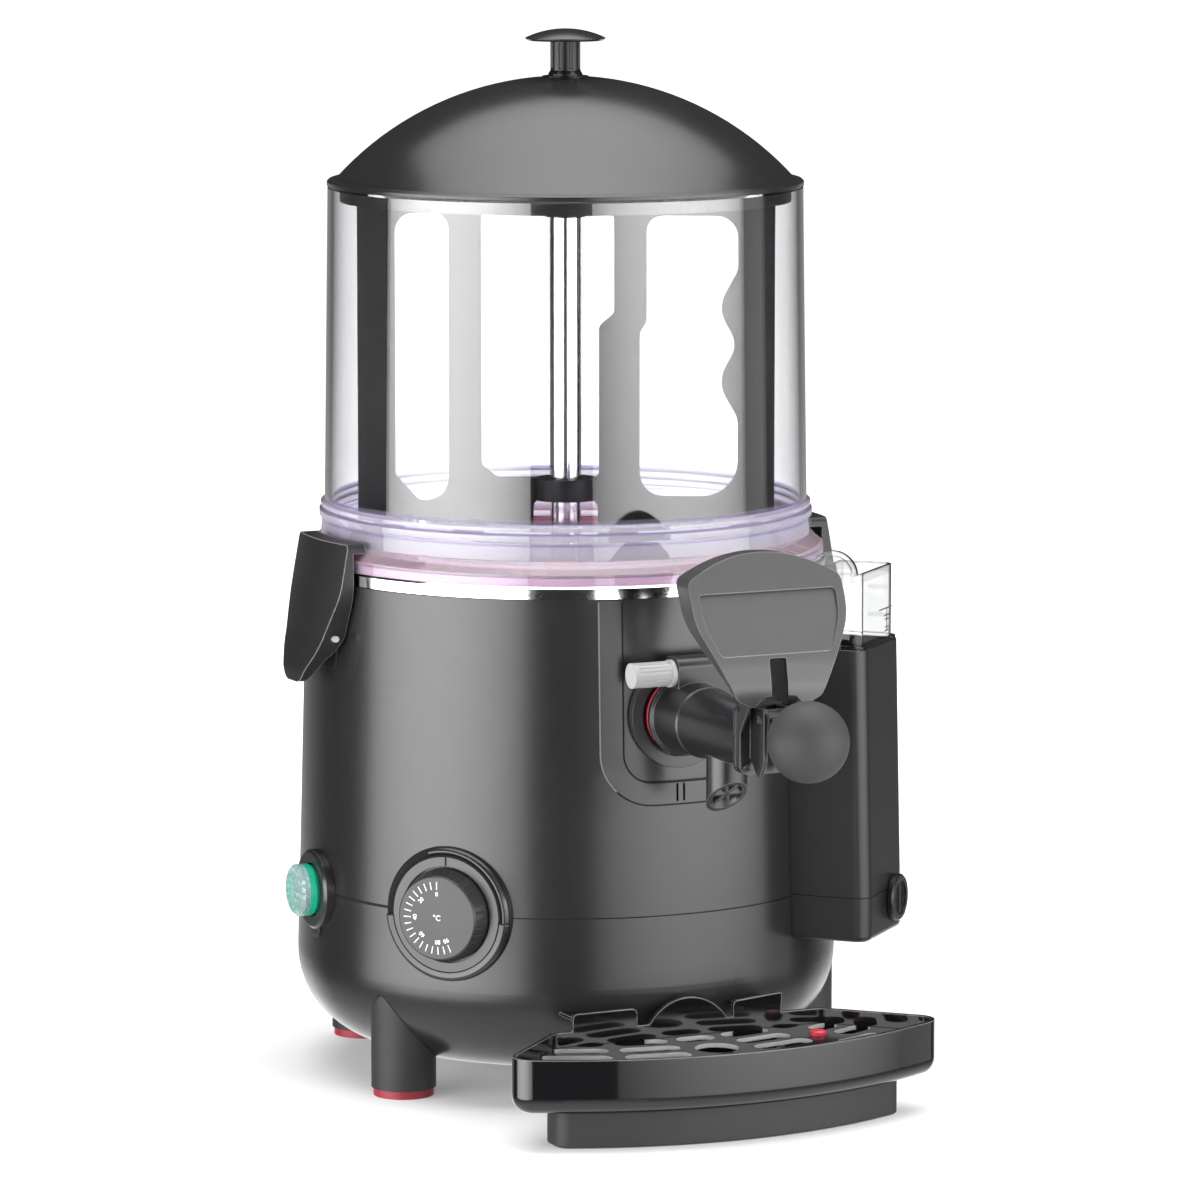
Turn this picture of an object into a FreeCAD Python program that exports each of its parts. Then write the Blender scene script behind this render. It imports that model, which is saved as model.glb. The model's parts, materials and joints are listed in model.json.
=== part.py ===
"""Hot chocolate dispenser: heated base, clear bowl with stirrer, lever tap, water tank and drip tray.

The origin is where the bowl's axis meets the table. The tap faces -Y and +Z is up.
Lengths are in millimetres and angles in degrees. Angles round the bowl's axis are
counted from the front (-Y) towards +X, so the tap stands at 0 and the right latch at 90.
"""
import FreeCAD, Part
import math
import os

V = FreeCAD.Vector
UP = V(0, 0, 1)
ORIGIN = V(0, 0, 0)

# ---------------------------------------------------------------- driving dimensions
# clearances
RUN = 0.05            # radial running clearance of shafts and pistons
SEAT = 0.3            # gap where a moving piece lies against its seat
GAP = 0.4             # open joint line between two mouldings

# levels of the stack, upwards from the table
PAD_H = 4.5           # silicone pad under a foot
BASE_Z = 17.0         # underside of the belly
SEAM_Z = 107.0        # joint line of the two housing halves
DECK_Z = 279.0        # lower edge of the steel rim
RIM_H = 7.0           # height of the steel rim
BOWL_TOP_Z = 491.3    # top edge of the clear container

# radii round the bowl's axis
BELLY_R = 150.4       # widest point of the base, at the top of the belly curve
SEAM_R = 149.2        # housing at the seam
DECK_R = 144.6        # housing below the steel rim
BELLY_CURVE = 48.0    # radius of the curve under the belly
BELLY_Z = 68.0        # height of the widest point
WALL = 3.0            # housing wall
BASE_OPEN_R = 103.0   # opening under the base, closed by the bottom plate
CONT_R_LOW = 134.0    # clear container, outside, above its ridge
CONT_R_TOP = 131.5    # clear container, outside, at its top edge
CONT_WALL = 3.5
FLANGE_R = 143.5      # flange at the foot of the container

# feet
FOOT_R = 17.8
FOOT_AT_R = 132.0
FOOT_ANGLES = (-67.0, 67.0, -143.0, 143.0)
PAD_R = 16.6

# steel bowl, water jacket and drive
SHEET = 1.2
BOWL_FLOOR_Z = 206.0
BOWL_SIDE_R = 124.0
JACKET_R = 131.0
JACKET_FLOOR_Z = 176.0
TUBE_R = 8.65
TUBE_WALL = 1.6
SHAFT_R = 4.0
TUBE_TOP_Z = 473.0
HEATER_R = 84.0
HEATER_TUBE_R = 4.2

# stirrer
PADDLE_HALF = 116.0
PADDLE_T = 4.0
PADDLE_Z0 = 309.0
PADDLE_Z1 = 482.0
PADDLE_ANGLE = -28.0  # the plate's plane at rest, turned from the X axis
PADDLE_FOOT_Z = 212.0 # lowest edge, close over the bowl's floor
NOTCH_HALF = 18.0     # slot between the two legs, for the tube and its seal
NOTCH_Z = 316.0
HUB_R = 17.0

# lid
DOME_R = 171.0        # sphere radius of the dome
DOME_Z = 551.0        # top of the dome
LID_T = 2.6
LID_R = 131.8
SKIRT_R = 124.8
SKIRT_DROP = 8.3
LID_FLANGE_H = 3.0
KNOB_R = 22.1
KNOB_TOP_Z = 577.0
KNOB_CAP_H = 6.6
KNOB_CROWN = 5.0      # rise of the knob's rounded top above its edge
KNOB_POST_R = 8.3

# latches
LATCH_TOP_Z = 302.0
LATCH_PIN_Z = 250.0
LATCH_PIN_AT = 150.5  # distance of the hinge pin from the bowl's axis
LATCH_PIN_R = 1.7
LATCH_OPEN = 26.0     # how far a latch swings out, degrees
LUG_HALF = 20.0       # half the hinge lug, which fits between the lever's cheeks
LATCH_HALF = 34.5     # half the width at the top
LATCH_T = 3.0

# tap
TAP_Z = 216.0
COLLAR_R = 29.0
COLLAR_BORE = 22.6
BARREL_R0 = 20.4      # barrel beside the base
BARREL_R1 = 14.8      # barrel at its front end
BARREL_Y0 = -154.0
BARREL_Y1 = -244.0
PISTON_R = 12.0
PISTON_Y0 = -194.5
PISTON_LEN = 20.0
PORT_R = 4.5          # hole that the piston uncovers above the spout
ROD_R = 3.0
TRAVEL = 10.0         # stroke of the piston
LEVER_SWING = 40.0    # swing of the lever
CAP_T = 5.0
CAP_HALF = 14.5       # half width of the cap and its flange
PIVOT_Y = -260.0
SPOUT_Y = -204.0
SPOUT_R = 10.9
SPOUT_BORE = 8.8
BALL_R = 21.3
BALL_Y = -299.0
BALL_Z = 223.0
STEM_R = 3.5

# shield over the tap
SHIELD_TOP_Z = 313.0
SHIELD_LOW_Z = 236.5  # tips of the two prongs beside the slot
SHIELD_HALF = 44.4
SHIELD_BACK_Y = -231.0
SHIELD_T = 2.4
SLOT_HALF = 4.8
SLOT_Z1 = 262.0

# panel round the tap
PANEL_HALF = 44.0
PANEL_Z0 = 167.5
BAND = 12.4

# dial and switch
DIAL_ANGLE = -50.0
DIAL_Z = 107.0
DIAL_FACE_AT = 151.5  # distance of the bezel's face from the bowl's axis
DIAL_BEZEL_R = 31.5
DIAL_RING_R = 37.0
DIAL_HOLE_R = 29.0
KNOB_BASE_R = 25.4
KNOB_FACE_R = 23.0
KNOB_H = 11.0
DIAL_SHAFT_R = 3.0
SWITCH_ANGLE = -91.0
SWITCH_Z = 107.0
SWITCH_RING_R = 22.0
SWITCH_HOLE_R = 17.0
SWITCH_FACE_AT = 154.0
BUTTON_R = 14.4
BUTTON_OUT = 9.5      # how far the lens stands out of the ring
BUTTON_TRAVEL = 3.0

# water tank at the side
TANK_ANGLE = 43.0
TANK_HALF = 31.0
TANK_OUT = 190.4      # outer face at the foot, from the bowl's axis
TANK_DRAFT = 3.6      # the tank is this much shallower at its top
TANK_Z0 = 83.5
TANK_Z1 = 244.5
TANK_SEAM_Z = 108.0
TANK_CORNER = 8.0
TANK_WALL = 2.6
CUP_TOP_Z = 286.0
CUP_HALF = 28.4
CUP_T = 2.0
HOOD_TOP_Z = 298.5
PLUG_R = 13.0
PLUG_Z = 102.0
PLUG_T = 14.0         # sideways place of the drain plug on the outer face

# drip tray
TRAY_R = 245.0        # front edge of the tray, an arc round the bowl's axis
TRAY_HALF = 131.5     # half width to the sharp front corner
TRAY_CORNER = 12.0    # rounding of the front corners
TRAY_BACK_Y = -155.5
TRAY_BACK_HALF = 80.0
TRAY_Z0 = 20.0
TRAY_Z1 = 50.0
TRAY_T = 2.5
TRAY_CURVE = 9.0
PLINTH_R = 234.0
PLINTH_HALF = 101.0
GRID_Z = 42.0
GRID_T = 2.5
SLOT_ROWS = (167.0, 184.5, 202.0, 219.5)
SLOT_W = 12.6
DRAIN_HOLE_R = 12.0
DRAIN_HOLE_AT = 193.0
FLOAT_ANGLE = 19.3
FLOAT_AT = 196.0
FLOAT_R = 4.6
FLOAT_SEAT = 1.2      # depth of the seat that takes the float's head
TAB_HALF = 23.0
TAB_TOP_Z = 63.0
HOOK_TOP_Z = 59.5     # plates whose lips rest against the base

# rear gland
GLAND_Z = 46.0
GLAND_BORE = 3.6

# ---------------------------------------------------------------- derived values
RIM_Z = DECK_Z + RIM_H
KNOB_SEAT_Z = DOME_Z + 0.1
PIVOT_Z = TAP_Z + TRAVEL / 2 / math.tan(math.radians(LEVER_SWING / 2))
CAP_Y = BARREL_Y1 - CAP_T
PIN_Y = PIVOT_Y + TRAVEL / 2
PISTON_Y1 = PISTON_Y0 - PISTON_LEN
DOME_CENTRE_Z = DOME_Z - DOME_R
LID_EDGE_Z = BOWL_TOP_Z


# ---------------------------------------------------------------- drawing helpers
def xz(u, v):
    return V(u, 0, v)


def xy(u, v):
    return V(u, v, 0)


def yz(u, v):
    return V(0, u, v)


def outline(points, place=xy):
    """Closed wire through (u, v) or (u, v, corner radius) points, with rounded corners."""
    ends = []
    count = len(points)
    for i, point in enumerate(points):
        here = V(point[0], point[1], 0)
        before = V(points[i - 1][0], points[i - 1][1], 0) - here
        after = V(points[(i + 1) % count][0], points[(i + 1) % count][1], 0) - here
        radius = point[2] if len(point) > 2 else 0
        if not radius:
            ends.append((here, None, here))
            continue
        half = before.getAngle(after) / 2
        reach = radius / math.tan(half)
        before.normalize()
        after.normalize()
        middle = before + after
        middle.normalize()
        centre = here + middle * (radius / math.sin(half))
        ends.append((here + before * reach, centre - middle * radius, here + after * reach))
    edges = []
    for i, (start, bulge, end) in enumerate(ends):
        if bulge is not None:
            edges.append(Part.Arc(place(start.x, start.y), place(bulge.x, bulge.y),
                                  place(end.x, end.y)).toShape())
        following = ends[(i + 1) % count][0]
        if end.distanceToPoint(following) > 1e-6:
            edges.append(Part.LineSegment(place(end.x, end.y),
                                          place(following.x, following.y)).toShape())
    return Part.Wire(Part.__sortEdges__(edges))


def revolve(points):
    """Solid of revolution round the Z axis from a closed (r, z) profile."""
    return Part.Face(outline(points, xz)).revolve(ORIGIN, UP, 360)


def prism(points, place, low, high):
    """Solid from an outline drawn in the plane that place gives, between two offsets of it."""
    normal = {xy: UP, xz: V(0, 1, 0), yz: V(1, 0, 0)}[place]
    face = Part.Face(outline(points, place))
    face.translate(normal * low)
    return face.extrude(normal * (high - low))


def smaller(points, place, inset, low, high):
    """Like prism, with the outline drawn in by an inset all round."""
    normal = {xy: UP, xz: V(0, 1, 0), yz: V(1, 0, 0)}[place]
    face = Part.Face(outline(points, place)).makeOffset2D(-inset)
    face.translate(normal * low)
    return face.extrude(normal * (high - low))


def box(x0, x1, y0, y1, z0, z1):
    return Part.makeBox(x1 - x0, y1 - y0, z1 - z0, V(x0, y0, z0))


def rod(radius, start, end):
    """Cylinder from one point to another."""
    axis = end - start
    return Part.makeCylinder(radius, axis.Length, start, axis)


def ring(outer, inner, start, end):
    return rod(outer, start, end).cut(rod(inner, start, end))


def at_side(angle, shape):
    """Place a shape drawn with x sideways, y up and z outwards from the bowl's axis."""
    a = math.radians(angle)
    side = V(math.cos(a), math.sin(a), 0)
    out = V(math.sin(a), -math.cos(a), 0)
    matrix = FreeCAD.Matrix(side.x, 0, out.x, 0, side.y, 0, out.y, 0, 0, 1, 0, 0, 0, 0, 0, 1)
    placed = shape.copy()
    placed.transformShape(matrix, True)
    return placed


def turned(shape, angle):
    """A copy turned round the Z axis."""
    copy = shape.copy()
    copy.rotate(ORIGIN, UP, angle)
    return copy


def polar(radius, angle, z=0.0):
    """Point at a distance from the bowl's axis, at an angle from the front."""
    a = math.radians(angle)
    return V(radius * math.sin(a), -radius * math.cos(a), z)


def fused(shapes):
    whole = shapes[0]
    for shape in shapes[1:]:
        whole = whole.fuse(shape)
    return whole.removeSplitter()


def group(shapes):
    return Part.makeCompound(shapes)


# ---------------------------------------------------------------- base housing
def housing_r(z):
    """Outside radius of the upper housing at a height."""
    share = (z - SEAM_Z) / (DECK_Z - SEAM_Z)
    return SEAM_R + (DECK_R - SEAM_R) * share


def base_solid():
    """The base as one full body: what lies against its outside is cut with it."""
    return revolve([(0, BASE_Z), (BELLY_R, BASE_Z, BELLY_CURVE), (BELLY_R, BELLY_Z),
                    (SEAM_R, SEAM_Z), (DECK_R, DECK_Z), (0, DECK_Z)])


def side_hole(angle, z, radius):
    return at_side(angle, rod(radius, V(0, z, DECK_R - 30), V(0, z, BELLY_R + 20)))


def panel_outline(half, low, corner):
    return [(-half, DECK_Z + 1), (-half, low, corner), (half, low, corner), (half, DECK_Z + 1)]


def panel_prism(inset):
    return prism(panel_outline(PANEL_HALF - inset, PANEL_Z0 + inset, 28 - inset),
                 xz, -BELLY_R - 10, -DECK_R / 2)


def base_shell(depth):
    """Skin of the upper housing between a depth below its surface and well outside it."""
    return revolve([(SEAM_R - depth, SEAM_Z), (SEAM_R + 8, SEAM_Z), (SEAM_R + 8, DECK_Z),
                    (DECK_R - depth, DECK_Z)])


def lower_housing():
    shell = revolve([(BASE_OPEN_R, BASE_Z), (BELLY_R, BASE_Z, BELLY_CURVE), (BELLY_R, BELLY_Z),
                     (SEAM_R, SEAM_Z - GAP), (SEAM_R - WALL / 2, SEAM_Z - GAP),
                     (SEAM_R - WALL / 2, SEAM_Z + 4), (SEAM_R - WALL - 1, SEAM_Z + 4),
                     (SEAM_R - WALL - 1, SEAM_Z - 6), (BELLY_R - WALL, SEAM_Z - 12),
                     (BELLY_R - WALL, BELLY_Z - 8), (BELLY_R - 18, BASE_Z + 17), (BASE_OPEN_R + 6, BASE_Z + WALL),
                     (BASE_OPEN_R + 3, BASE_Z + WALL),
                     (BASE_OPEN_R + 3, BASE_Z + 5), (BASE_OPEN_R - 9, BASE_Z + 5),
                     (BASE_OPEN_R - 9, BASE_Z + 2), (BASE_OPEN_R, BASE_Z + 2)])
    shell = shell.cut(side_hole(DIAL_ANGLE, DIAL_Z, DIAL_HOLE_R))
    shell = shell.cut(side_hole(SWITCH_ANGLE, SWITCH_Z, SWITCH_HOLE_R))
    holes = [rod(1.8, p, p + V(0, 0, 6)) for p in plate_screw_points(BASE_Z)]
    holes.append(rod(GLAND_BORE, V(0, 100, GLAND_Z), V(0, 170, GLAND_Z)))
    return shell.cut(group(holes))


def upper_housing():
    ledge = DECK_Z + RIM_H - SHEET
    shell = revolve([(SEAM_R, SEAM_Z), (DECK_R, DECK_Z), (DECK_R - 1.6, DECK_Z),
                     (DECK_R - 1.6, ledge), (DECK_R - 6, ledge), (DECK_R - 6, DECK_Z - 8),
                     (DECK_R - WALL, DECK_Z - 14), (SEAM_R - WALL, SEAM_Z + 12),
                     (SEAM_R - WALL / 2, SEAM_Z + 5), (SEAM_R - WALL / 2, SEAM_Z)])
    shell = shell.cut(side_hole(DIAL_ANGLE, DIAL_Z, DIAL_HOLE_R))
    shell = shell.cut(side_hole(SWITCH_ANGLE, SWITCH_Z, SWITCH_HOLE_R))
    shell = shell.cut(side_hole(0, TAP_Z, COLLAR_BORE))
    recess = base_shell(1.4).common(panel_prism(-GAP))
    return shell.cut(recess)


def tap_surround():
    """U-shaped band that frames the tap, lying in the recess of the upper housing."""
    skin = base_shell(1.4).common(revolve([
        (0, SEAM_Z), (SEAM_R + 0.7, SEAM_Z), (DECK_R + 0.7, DECK_Z - 0.4), (0, DECK_Z - 0.4)]))
    band = skin.common(panel_prism(0).cut(panel_prism(BAND)))
    notch = box(-2.6, -1.4, -BELLY_R, -BELLY_R + 5.6, PANEL_Z0 + 1.5, PANEL_Z0 + BAND - 1.5)
    return band.cut(notch).cut(notch.mirror(ORIGIN, V(1, 0, 0)))


def feet():
    """Four legs that come out of the belly curve."""
    belly = base_solid()
    legs = []
    for angle in FOOT_ANGLES:
        leg = rod(FOOT_R, polar(FOOT_AT_R, angle, PAD_H), polar(FOOT_AT_R, angle, BELLY_Z + 4))
        legs.append(leg.cut(belly))
    return group(legs)


def foot_pads():
    pads = []
    for angle in FOOT_ANGLES:
        pad = rod(PAD_R, polar(FOOT_AT_R, angle, 0), polar(FOOT_AT_R, angle, PAD_H))
        pads.append(pad)
    return group(pads)


def plate_screw_points(z):
    return [polar(BASE_OPEN_R - 5, angle, z) for angle in range(30, 390, 60)]


def bottom_plate():
    plate = revolve([(0, BASE_Z), (BASE_OPEN_R - 0.5, BASE_Z), (BASE_OPEN_R - 0.5, BASE_Z + 2), (0, BASE_Z + 2)])
    slots = []
    for angle in range(0, 360, 30):
        slot = box(-2.2, 2.2, -82, -52, BASE_Z - 1, BASE_Z + 3)
        slots.append(turned(slot, angle))
    holes = [rod(2.1, p, p + V(0, 0, 4)) for p in plate_screw_points(BASE_Z - 1)]
    return plate.cut(group(slots + holes))


def plate_screws():
    screws = []
    for p in plate_screw_points(BASE_Z):
        head = rod(3.6, p - V(0, 0, 2.2), p)
        slot = box(p.x - 4, p.x + 4, p.y - 0.5, p.y + 0.5, p.z - 2.4, p.z - 1.2)
        screws.append(head.fuse(rod(1.75, p, p + V(0, 0, 7))).cut(slot))
    return group(screws)


# ---------------------------------------------------------------- bowl, jacket and drive
def steel_bowl():
    """Pressed bowl with a folded rim, the bright band above the housing."""
    side = BOWL_SIDE_R - 4
    shell = revolve([(DECK_R, DECK_Z + 0.3), (DECK_R, RIM_Z - 1), (DECK_R - 1, RIM_Z),
                     (BOWL_SIDE_R + 1, RIM_Z), (side, BOWL_FLOOR_Z, 40), (TUBE_R, BOWL_FLOOR_Z),
                     (TUBE_R, BOWL_FLOOR_Z - SHEET), (side + SHEET, BOWL_FLOOR_Z - SHEET, 41.2),
                     (BOWL_SIDE_R + 1 + SHEET, RIM_Z - SHEET), (DECK_R - SHEET, RIM_Z - SHEET),
                     (DECK_R - SHEET, DECK_Z + 0.3)])
    spigot = ring(BARREL_SPIGOT_R, BARREL_SPIGOT_R - 1.5, V(0, -112, TAP_Z), V(0, -152, TAP_Z))
    bore = rod(BARREL_SPIGOT_R - 1.5, V(0, -100, TAP_Z), V(0, -140, TAP_Z))
    hollow = revolve([(0, BOWL_FLOOR_Z), (side, BOWL_FLOOR_Z, 40), (BOWL_SIDE_R + 1, RIM_Z), (0, RIM_Z)])
    return shell.fuse(spigot.cut(hollow)).cut(bore)


BARREL_SPIGOT_R = 12.4


def water_jacket():
    """Outer vessel of the water bath, hung under the housing's ledge."""
    top = RIM_Z - SHEET
    low = JACKET_FLOOR_Z
    shell = revolve([(DECK_R - 6.3, top), (DECK_R - 6.3, top - SHEET), (JACKET_R + SHEET, top - SHEET),
                     (JACKET_R + SHEET, low + 12 - SHEET), (JACKET_R - 12 + SHEET, low - SHEET),
                     (TUBE_R + 6, low - SHEET), (TUBE_R + 6, low), (JACKET_R - 12, low), (JACKET_R, low + 12),
                     (JACKET_R, top)])
    port = rod(BARREL_SPIGOT_R + 0.1, V(0, -100, TAP_Z), V(0, -150, TAP_Z))
    shafts = [rod(HEATER_TUBE_R, polar(HEATER_R, a, JACKET_FLOOR_Z - 3),
                  polar(HEATER_R, a, JACKET_FLOOR_Z + 3)) for a in (172, 188)]
    return shell.cut(port).cut(group(shafts))


def hexagon_angles():
    return [math.radians(a) for a in range(30, 390, 60)]


def heating_element():
    """Ring heater lying in the water, with its two ends let down through the jacket."""
    z = JACKET_FLOOR_Z + 10
    t = HEATER_TUBE_R
    loop = revolve([(HEATER_R + t * math.cos(a), z + t * math.sin(a)) for a in hexagon_angles()])
    gap = prism([(0, 0), (-40, 250), (40, 250)], xy, z - 6, z + 6)
    loop = loop.cut(gap)
    legs = [rod(HEATER_TUBE_R, polar(HEATER_R, a, JACKET_FLOOR_Z - 22), polar(HEATER_R, a, z))
            for a in (172, 188)]
    return fused([loop] + legs)


def centre_tube():
    """Bright tube that carries the drive shaft up through the drink."""
    tube = revolve([(TUBE_R - TUBE_WALL, JACKET_FLOOR_Z - 26), (TUBE_R, JACKET_FLOOR_Z - 26),
                    (TUBE_R, JACKET_FLOOR_Z - SHEET - 1), (TUBE_R + 9, JACKET_FLOOR_Z - SHEET - 1),
                    (TUBE_R + 9, JACKET_FLOOR_Z - SHEET), (TUBE_R + 6, JACKET_FLOOR_Z - SHEET),
                    (TUBE_R + 6, JACKET_FLOOR_Z + 1), (TUBE_R, JACKET_FLOOR_Z + 1),
                    (TUBE_R, TUBE_TOP_Z), (TUBE_R - TUBE_WALL, TUBE_TOP_Z)])
    return tube


def tube_bushes():
    inner = TUBE_R - TUBE_WALL
    low = JACKET_FLOOR_Z - 26
    bushes = []
    for z0, z1 in ((low, low + 14), (TUBE_TOP_Z - 14, TUBE_TOP_Z)):
        bushes.append(ring(inner, SHAFT_R + RUN, V(0, 0, z0), V(0, 0, z1)))
    return group(bushes)


def drive_shaft():
    shaft = rod(SHAFT_R, V(0, 0, GEAR_TOP_Z), V(0, 0, PADDLE_Z1 - 3))
    flat = box(SHAFT_R - 1.0, SHAFT_R + 2, -SHAFT_R, SHAFT_R, TUBE_TOP_Z + 3, PADDLE_Z1)
    return shaft.cut(flat)


GEAR_TOP_Z = 128.0


def gear_motor():
    """Motor with its gearbox, standing on the bottom bracket under the jacket."""
    gearbox = prism([(-34, -30, 9), (34, -30, 9), (34, 46, 9), (-34, 46, 9)], xy, 92, GEAR_TOP_Z - 0.3)
    motor = rod(29, V(0, 12, 34), V(0, 12, 92))
    vents = [turned(box(-1.5, 1.5, -31, -25, 48, 78), a) for a in range(0, 360, 30)]
    for vent in vents:
        vent.translate(V(0, 12, 0))
    boss = ring(9, SHAFT_R + RUN, V(0, 0, GEAR_TOP_Z - 0.3), V(0, 0, GEAR_TOP_Z + 4))
    return fused([gearbox, motor.cut(group(vents)), boss])


def motor_bracket():
    """Folded plate with two uprights that carries the motor over the bottom plate."""
    foot = prism([(-60, -44, 6), (60, -44, 6), (60, 60, 6), (-60, 60, 6)], xy, BASE_Z + 2, BASE_Z + 4)
    uprights = [box(x, x + 2, -34, 50, BASE_Z + 4, 92) for x in (-42, 40)]
    shelf = box(-42, 42, -34, 50, 90, 92).cut(rod(29.3, V(0, 12, 80), V(0, 12, 95)))
    return fused([foot, shelf] + uprights)


# ---------------------------------------------------------------- container and stirrer
def container():
    """Clear cylinder with two ridges and a stepped flange at its foot, over the gasket's groove."""
    inner_low = CONT_R_LOW - CONT_WALL
    inner_top = CONT_R_TOP - CONT_WALL
    top = BOWL_TOP_Z - SEAT
    z = RIM_Z
    outside = [(FLANGE_R, z + 0.2), (FLANGE_R, z + 6.2), (FLANGE_R - 1.5, z + 7.6), (139.0, z + 10.5),
               (136.2, z + 13), (135.4, z + 22.2), (137.0, z + 23.0), (137.0, z + 26.2), (135.2, z + 27.2),
               (136.2, z + 28.4), (136.2, z + 30.4), (CONT_R_LOW, z + 32), (CONT_R_TOP, top - 1),
               (CONT_R_TOP - 1, top)]
    inside = [(inner_top, top), (inner_low, z + 24), (inner_low - 1.5, z + GASKET_H + 1.5),
              (GASKET_R0, z + GASKET_H + 1.5), (GASKET_R0, z + GASKET_H)]
    groove = [(GASKET_R1 + 0.2, z + GASKET_H), (GASKET_R1 + 0.2, z + 0.2)]
    return revolve(outside + inside + groove)


GASKET_R0 = 127.5
GASKET_R1 = 138.0
GASKET_H = 4.0


def container_gasket():
    return revolve([(GASKET_R0 - 1.5, RIM_Z), (GASKET_R1, RIM_Z), (GASKET_R1, RIM_Z + GASKET_H),
                    (GASKET_R0 - 1.5, RIM_Z + GASKET_H)])


def paddle_side(sign):
    """Half outline of the paddle from its notch outwards, one point list for either side."""
    h = PADDLE_HALF
    n = NOTCH_HALF
    points = [(n, NOTCH_Z, 5), (n, PADDLE_FOOT_Z, 6), (h - 2, PADDLE_FOOT_Z, 44), (h - 2, 262, 30),
              (h, 296, 30), (h, PADDLE_Z1, 2)]
    return [(sign * p[0],) + p[1:] for p in points]


def paddle():
    """Plate stirrer with three windows above and two legs that sweep the steel bowl."""
    z0 = PADDLE_Z0
    top = PADDLE_Z1 - 7
    t = PADDLE_T / 2
    frame = prism(paddle_side(1) + paddle_side(-1)[::-1], xz, -t, t)
    left = [(-95, top, 11), (-65, top, 8), (-65, z0 + 6, 13), (-82, z0 + 6, 4), (-95, z0 + 20, 4)]
    middle = [(-46.8, top - 1, 1.5), (27, top - 1, 1.5), (27, 420, 5), (18.6, 413, 5), (18.6, z0 + 19, 4),
              (-38, z0 + 19, 5), (-46.8, z0 + 26, 4)]
    right = [(45, top - 1, 9), (95.6, top - 1, 12), (95.6, 444, 12), (84, 423, 17), (95.6, 403, 14),
             (84, 382, 17), (95.6, 362, 14), (95.6, z0 + 9, 20), (41.2, z0 + 9, 13), (41.2, 409, 5), (45, 415, 5)]
    frame = frame.cut(group([prism(points, xz, -t - 1, t + 1) for points in (left, middle, right)]))
    hub = rod(HUB_R, V(0, 0, NOTCH_Z), V(0, 0, NOTCH_Z + 12))
    crown = rod(11, V(0, 0, TUBE_TOP_Z + SEAT), V(0, 0, PADDLE_Z1))
    bore = rod(TUBE_R + SEAT, V(0, 0, z0 - 5), V(0, 0, TUBE_TOP_Z + SEAT))
    seat = rod(SHAFT_R, V(0, 0, TUBE_TOP_Z), V(0, 0, PADDLE_Z1 - 3))
    return turned(fused([frame, hub, crown]).cut(bore).cut(seat), PADDLE_ANGLE)


def tube_seal():
    """Soft seal where the tube passes the floor of the bowl."""
    z = BOWL_FLOOR_Z
    return revolve([(TUBE_R, z), (HUB_R - 2, z), (HUB_R - 2, z + 5), (TUBE_R + 2.5, z + 9),
                    (TUBE_R + 1.5, z + 14), (TUBE_R, z + 14)])


# ---------------------------------------------------------------- lid
def lid():
    outer = Part.makeSphere(DOME_R, V(0, 0, DOME_CENTRE_Z))
    inner = Part.makeSphere(DOME_R - LID_T, V(0, 0, DOME_CENTRE_Z))
    top = LID_EDGE_Z + LID_FLANGE_H
    cap = outer.common(rod(LID_R - 4.5, V(0, 0, top), V(0, 0, DOME_Z + 5)))
    flange = revolve([(0, LID_EDGE_Z), (LID_R, LID_EDGE_Z), (LID_R, top - 1), (LID_R - 1, top), (0, top)])
    skirt = rod(SKIRT_R, V(0, 0, LID_EDGE_Z - SKIRT_DROP), V(0, 0, top))
    boss = rod(KNOB_POST_R + 4.5, V(0, 0, DOME_Z - 3), V(0, 0, KNOB_SEAT_Z))
    whole = cap.fuse([flange, skirt, boss])
    hollow = inner.common(rod(SKIRT_R - LID_T, V(0, 0, LID_EDGE_Z - SKIRT_DROP - 1), V(0, 0, DOME_Z)))
    hole = rod(2.6, V(0, 0, DOME_Z - 6), V(0, 0, DOME_Z + 2))
    return whole.cut(hollow).cut(hole)


def lid_knob():
    """Mushroom knob with a rounded crown on a fluted post."""
    under = KNOB_TOP_Z - KNOB_CAP_H
    base = KNOB_SEAT_Z
    post = revolve([(0, base), (KNOB_POST_R + 1.2, base), (KNOB_POST_R + 1.2, base + 1), (KNOB_POST_R, base + 3),
                    (KNOB_POST_R, under + 1), (0, under + 1)])
    crown_r = (KNOB_R ** 2 + KNOB_CROWN ** 2) / 2 / KNOB_CROWN
    cap = revolve([(0, under), (KNOB_R - 1.2, under), (KNOB_R, under + 1), (KNOB_R, KNOB_TOP_Z + 1), (0, KNOB_TOP_Z + 1)])
    cap = cap.common(Part.makeSphere(crown_r, V(0, 0, KNOB_TOP_Z - crown_r)))
    flutes = [rod(1.5, polar(KNOB_POST_R + 0.6, a, base + 4), polar(KNOB_POST_R + 0.6, a, under - 1))
              for a in range(0, 360, 45)]
    pilot = rod(2.0, V(0, 0, base - 1), V(0, 0, base + 12))
    return fused([post, cap]).cut(group(flutes)).cut(pilot)


def lid_screw():
    head_z = DOME_Z - LID_T
    head = revolve([(0, head_z - 3), (4, head_z - 3), (5, head_z - 2), (5, head_z - 0.15), (0, head_z - 0.15)])
    cross = box(-3, 3, -0.5, 0.5, head_z - 3.5, head_z - 1.8)
    shank = rod(1.95, V(0, 0, head_z - 1), V(0, 0, DOME_Z + 10))
    return head.fuse(shank).cut(cross)


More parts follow.
